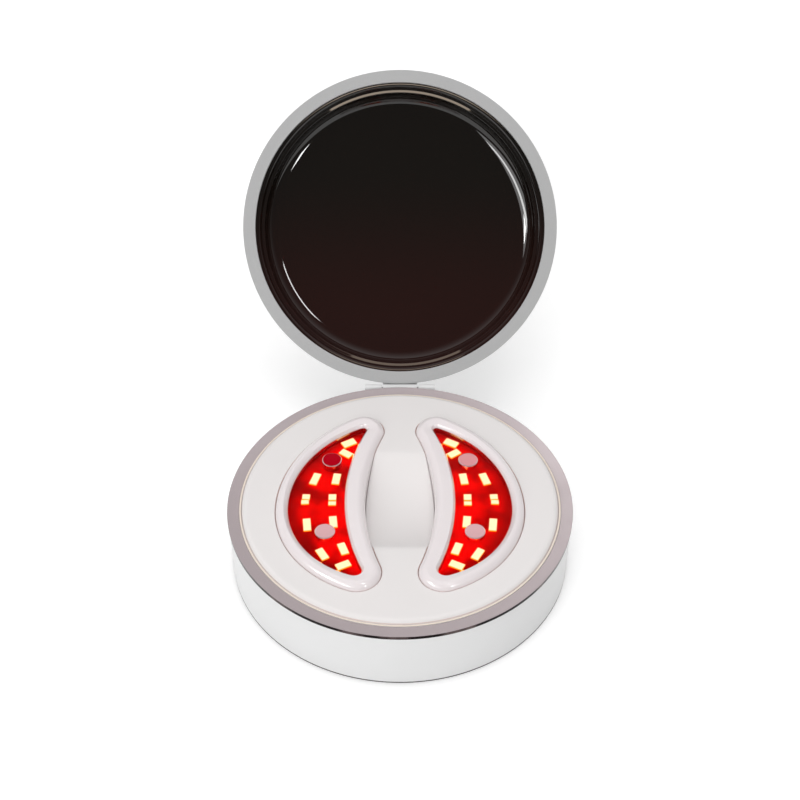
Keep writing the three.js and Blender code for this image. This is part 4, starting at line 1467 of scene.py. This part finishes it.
TABLE_REACH = 0.6
TABLE_LIFT = 0.34
CAMERA_PLACE = (0, -0.26702, 0.29351)
CAMERA_TILT = math.radians(48.124)
CAMERA_LENS = 65.9


def soft_box(name, at, aim, size, power):
    """A rectangular lamp turned towards a point, which gloss doesn't show"""
    data = bpy.data.lights.new(name, "AREA")
    data.shape = "RECTANGLE"
    data.size, data.size_y = size
    data.energy = power
    lamp = in_scene(name, data)
    lamp.visible_glossy = False
    lamp.location = at
    lamp.rotation_euler = (Vector(aim) - Vector(at)).to_track_quat("-Z", "Y").to_euler()
    return lamp


def gloss_card(name, at, size, power, tone, pieces):
    """A lamp that only the gloss of some pieces shows, for the thin lights in the dish"""
    card = soft_box(name, at, CARD_AIM, size, power)
    card.visible_glossy = True
    card.visible_diffuse = False
    card.data.color = tone
    shown = bpy.data.collections.new(f"{name} Pieces")
    for piece in pieces:
        shown.objects.link(bpy.data.objects[piece])
    card.light_linking.receiver_collection = shown
    # The open lid stands before the card that lights the ring, so only the ring shades that one
    if pieces == RING:
        card.light_linking.blocker_collection = shown


def table_top():
    # A seamless pale table: white to the camera and in reflections, and it keeps the soft shadow
    material = bpy.data.materials.new("Table Top")
    tree = emptied(material)
    path = node(tree, "LightPath").outputs
    rays = {0: path["Is Camera Ray"], 1: path["Is Glossy Ray"]}
    seen = node(tree, "Math", rays, operation="MAXIMUM")
    seen = node(tree, "Math", {0: seen, 1: path["Is Transmission Ray"]}, operation="MAXIMUM")
    level = node(tree, "Math", {0: seen, 1: TABLE_LIFT}, operation="MULTIPLY")
    plain = node(tree, "BsdfDiffuse", {"Color": (0.8, 0.8, 0.8, 1)})
    lift = node(tree, "Emission", {"Color": (*WHITE, 1), "Strength": level})
    both = node(tree, "AddShader", {0: plain, 1: lift})
    node(tree, "OutputMaterial", {"Surface": both})
    return material


def studio_world():
    """White to the camera; in gloss it darkens towards the front of the room"""
    world = bpy.data.worlds.new("Studio")
    bpy.context.scene.world = world
    tree = emptied(world)
    path = node(tree, "LightPath").outputs
    way = node(tree, "TexCoord").outputs["Generated"]
    towards = node(tree, "VectorMath", {0: way, 1: (0.0, 1.0, 0.0)}, operation="DOT_PRODUCT")
    limits = {"From Min": -0.3, "From Max": 0.75, "To Min": 0.12, "To Max": 0.76}
    room = node(tree, "MapRange", {"Value": towards, **limits}, interpolation_type="SMOOTHSTEP")
    gloss, fill, clear = [
        node(tree, "Background", {"Color": (*WHITE, 1), "Strength": strength})
        for strength in (room, 0.55, 1.0)
    ]
    lit = node(tree, "MixShader", {0: path["Is Glossy Ray"], 1: fill, 2: gloss})
    rays = {0: path["Is Camera Ray"], 1: path["Is Transmission Ray"]}
    seen = node(tree, "Math", rays, operation="MAXIMUM")
    whole = node(tree, "MixShader", {0: seen, 1: lit, 2: clear})
    node(tree, "OutputWorld", {"Surface": whole})


class EYECASE_OT_stage(Operator):
    """Table, lamps, room and camera"""

    bl_idname = "eye_case.add_stage"
    bl_label = "Stage"

    def execute(self, context):
        bm = bmesh.new()
        bmesh.ops.create_grid(bm, x_segments=4, y_segments=4, size=TABLE_REACH)
        table = new_object("table", bm)
        table.data.materials.append(table_top())
        for name, settings in SOFT_BOXES.items():
            soft_box(name, *settings)
        for name, settings in GLOSS_CARDS.items():
            gloss_card(name, *settings)
        studio_world()
        camera = in_scene("camera", bpy.data.cameras.new("camera"))
        camera.data.sensor_width = 36.0
        camera.data.lens = CAMERA_LENS
        camera.location = CAMERA_PLACE
        camera.rotation_euler = (CAMERA_TILT, 0, 0)
        context.scene.camera = camera
        context.scene.view_settings.view_transform = "Standard"
        return {"FINISHED"}


OPERATORS = (
    EYECASE_OT_sleeve,
    EYECASE_OT_trim_rings,
    EYECASE_OT_tray,
    EYECASE_OT_underside,
    EYECASE_OT_socket,
    EYECASE_OT_hinge_pin,
    EYECASE_OT_lid_shell,
    EYECASE_OT_lid_dish,
    EYECASE_OT_rims,
    EYECASE_OT_windows,
    EYECASE_OT_electrodes,
    EYECASE_OT_lamp_boards,
    EYECASE_OT_backs,
    EYECASE_OT_inner_parts,
    EYECASE_OT_stage,
)


class EYECASE_PT_panel(Panel):
    """Pieces, sizes and colours of the massager case"""

    bl_idname = "EYECASE_PT_panel"
    bl_label = "Eye Massager"
    bl_space_type = "VIEW_3D"
    bl_region_type = "UI"
    bl_category = "Eye Massager"

    def draw(self, context):
        layout = self.layout
        for item in OPERATORS:
            layout.operator(item.bl_idname)
        for group in (case_sizes(), massager_sizes(), finish_colours()):
            box = layout.box()
            for name in group.__annotations__:
                box.prop(group, name)


CLASSES = (CaseSizes, MassagerSizes, FinishColours, *OPERATORS, EYECASE_PT_panel)


def register():
    for item in CLASSES:
        bpy.utils.register_class(item)
    bpy.types.Scene.eye_case_sizes = PointerProperty(type=CaseSizes)
    bpy.types.Scene.eye_massager_sizes = PointerProperty(type=MassagerSizes)
    bpy.types.Scene.eye_case_colours = PointerProperty(type=FinishColours)


def unregister():
    del bpy.types.Scene.eye_case_colours
    del bpy.types.Scene.eye_massager_sizes
    del bpy.types.Scene.eye_case_sizes
    for item in reversed(CLASSES):
        bpy.utils.unregister_class(item)


def main():
    register()
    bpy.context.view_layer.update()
    bpy.ops.eye_case.add_sleeve()
    bpy.ops.eye_case.add_trim_rings()
    bpy.ops.eye_case.add_tray()
    bpy.ops.eye_case.add_underside()
    bpy.ops.eye_case.add_socket()
    bpy.ops.eye_case.add_hinge_pin()
    bpy.ops.eye_case.add_lid_shell()
    bpy.ops.eye_case.add_lid_dish()
    bpy.ops.eye_case.add_rims()
    bpy.ops.eye_case.add_windows()
    bpy.ops.eye_case.add_electrodes()
    bpy.ops.eye_case.add_lamp_boards()
    bpy.ops.eye_case.add_backs()
    bpy.ops.eye_case.finish_inner_parts()
    bpy.ops.eye_case.add_stage()


if __name__ == "__main__":
    main()
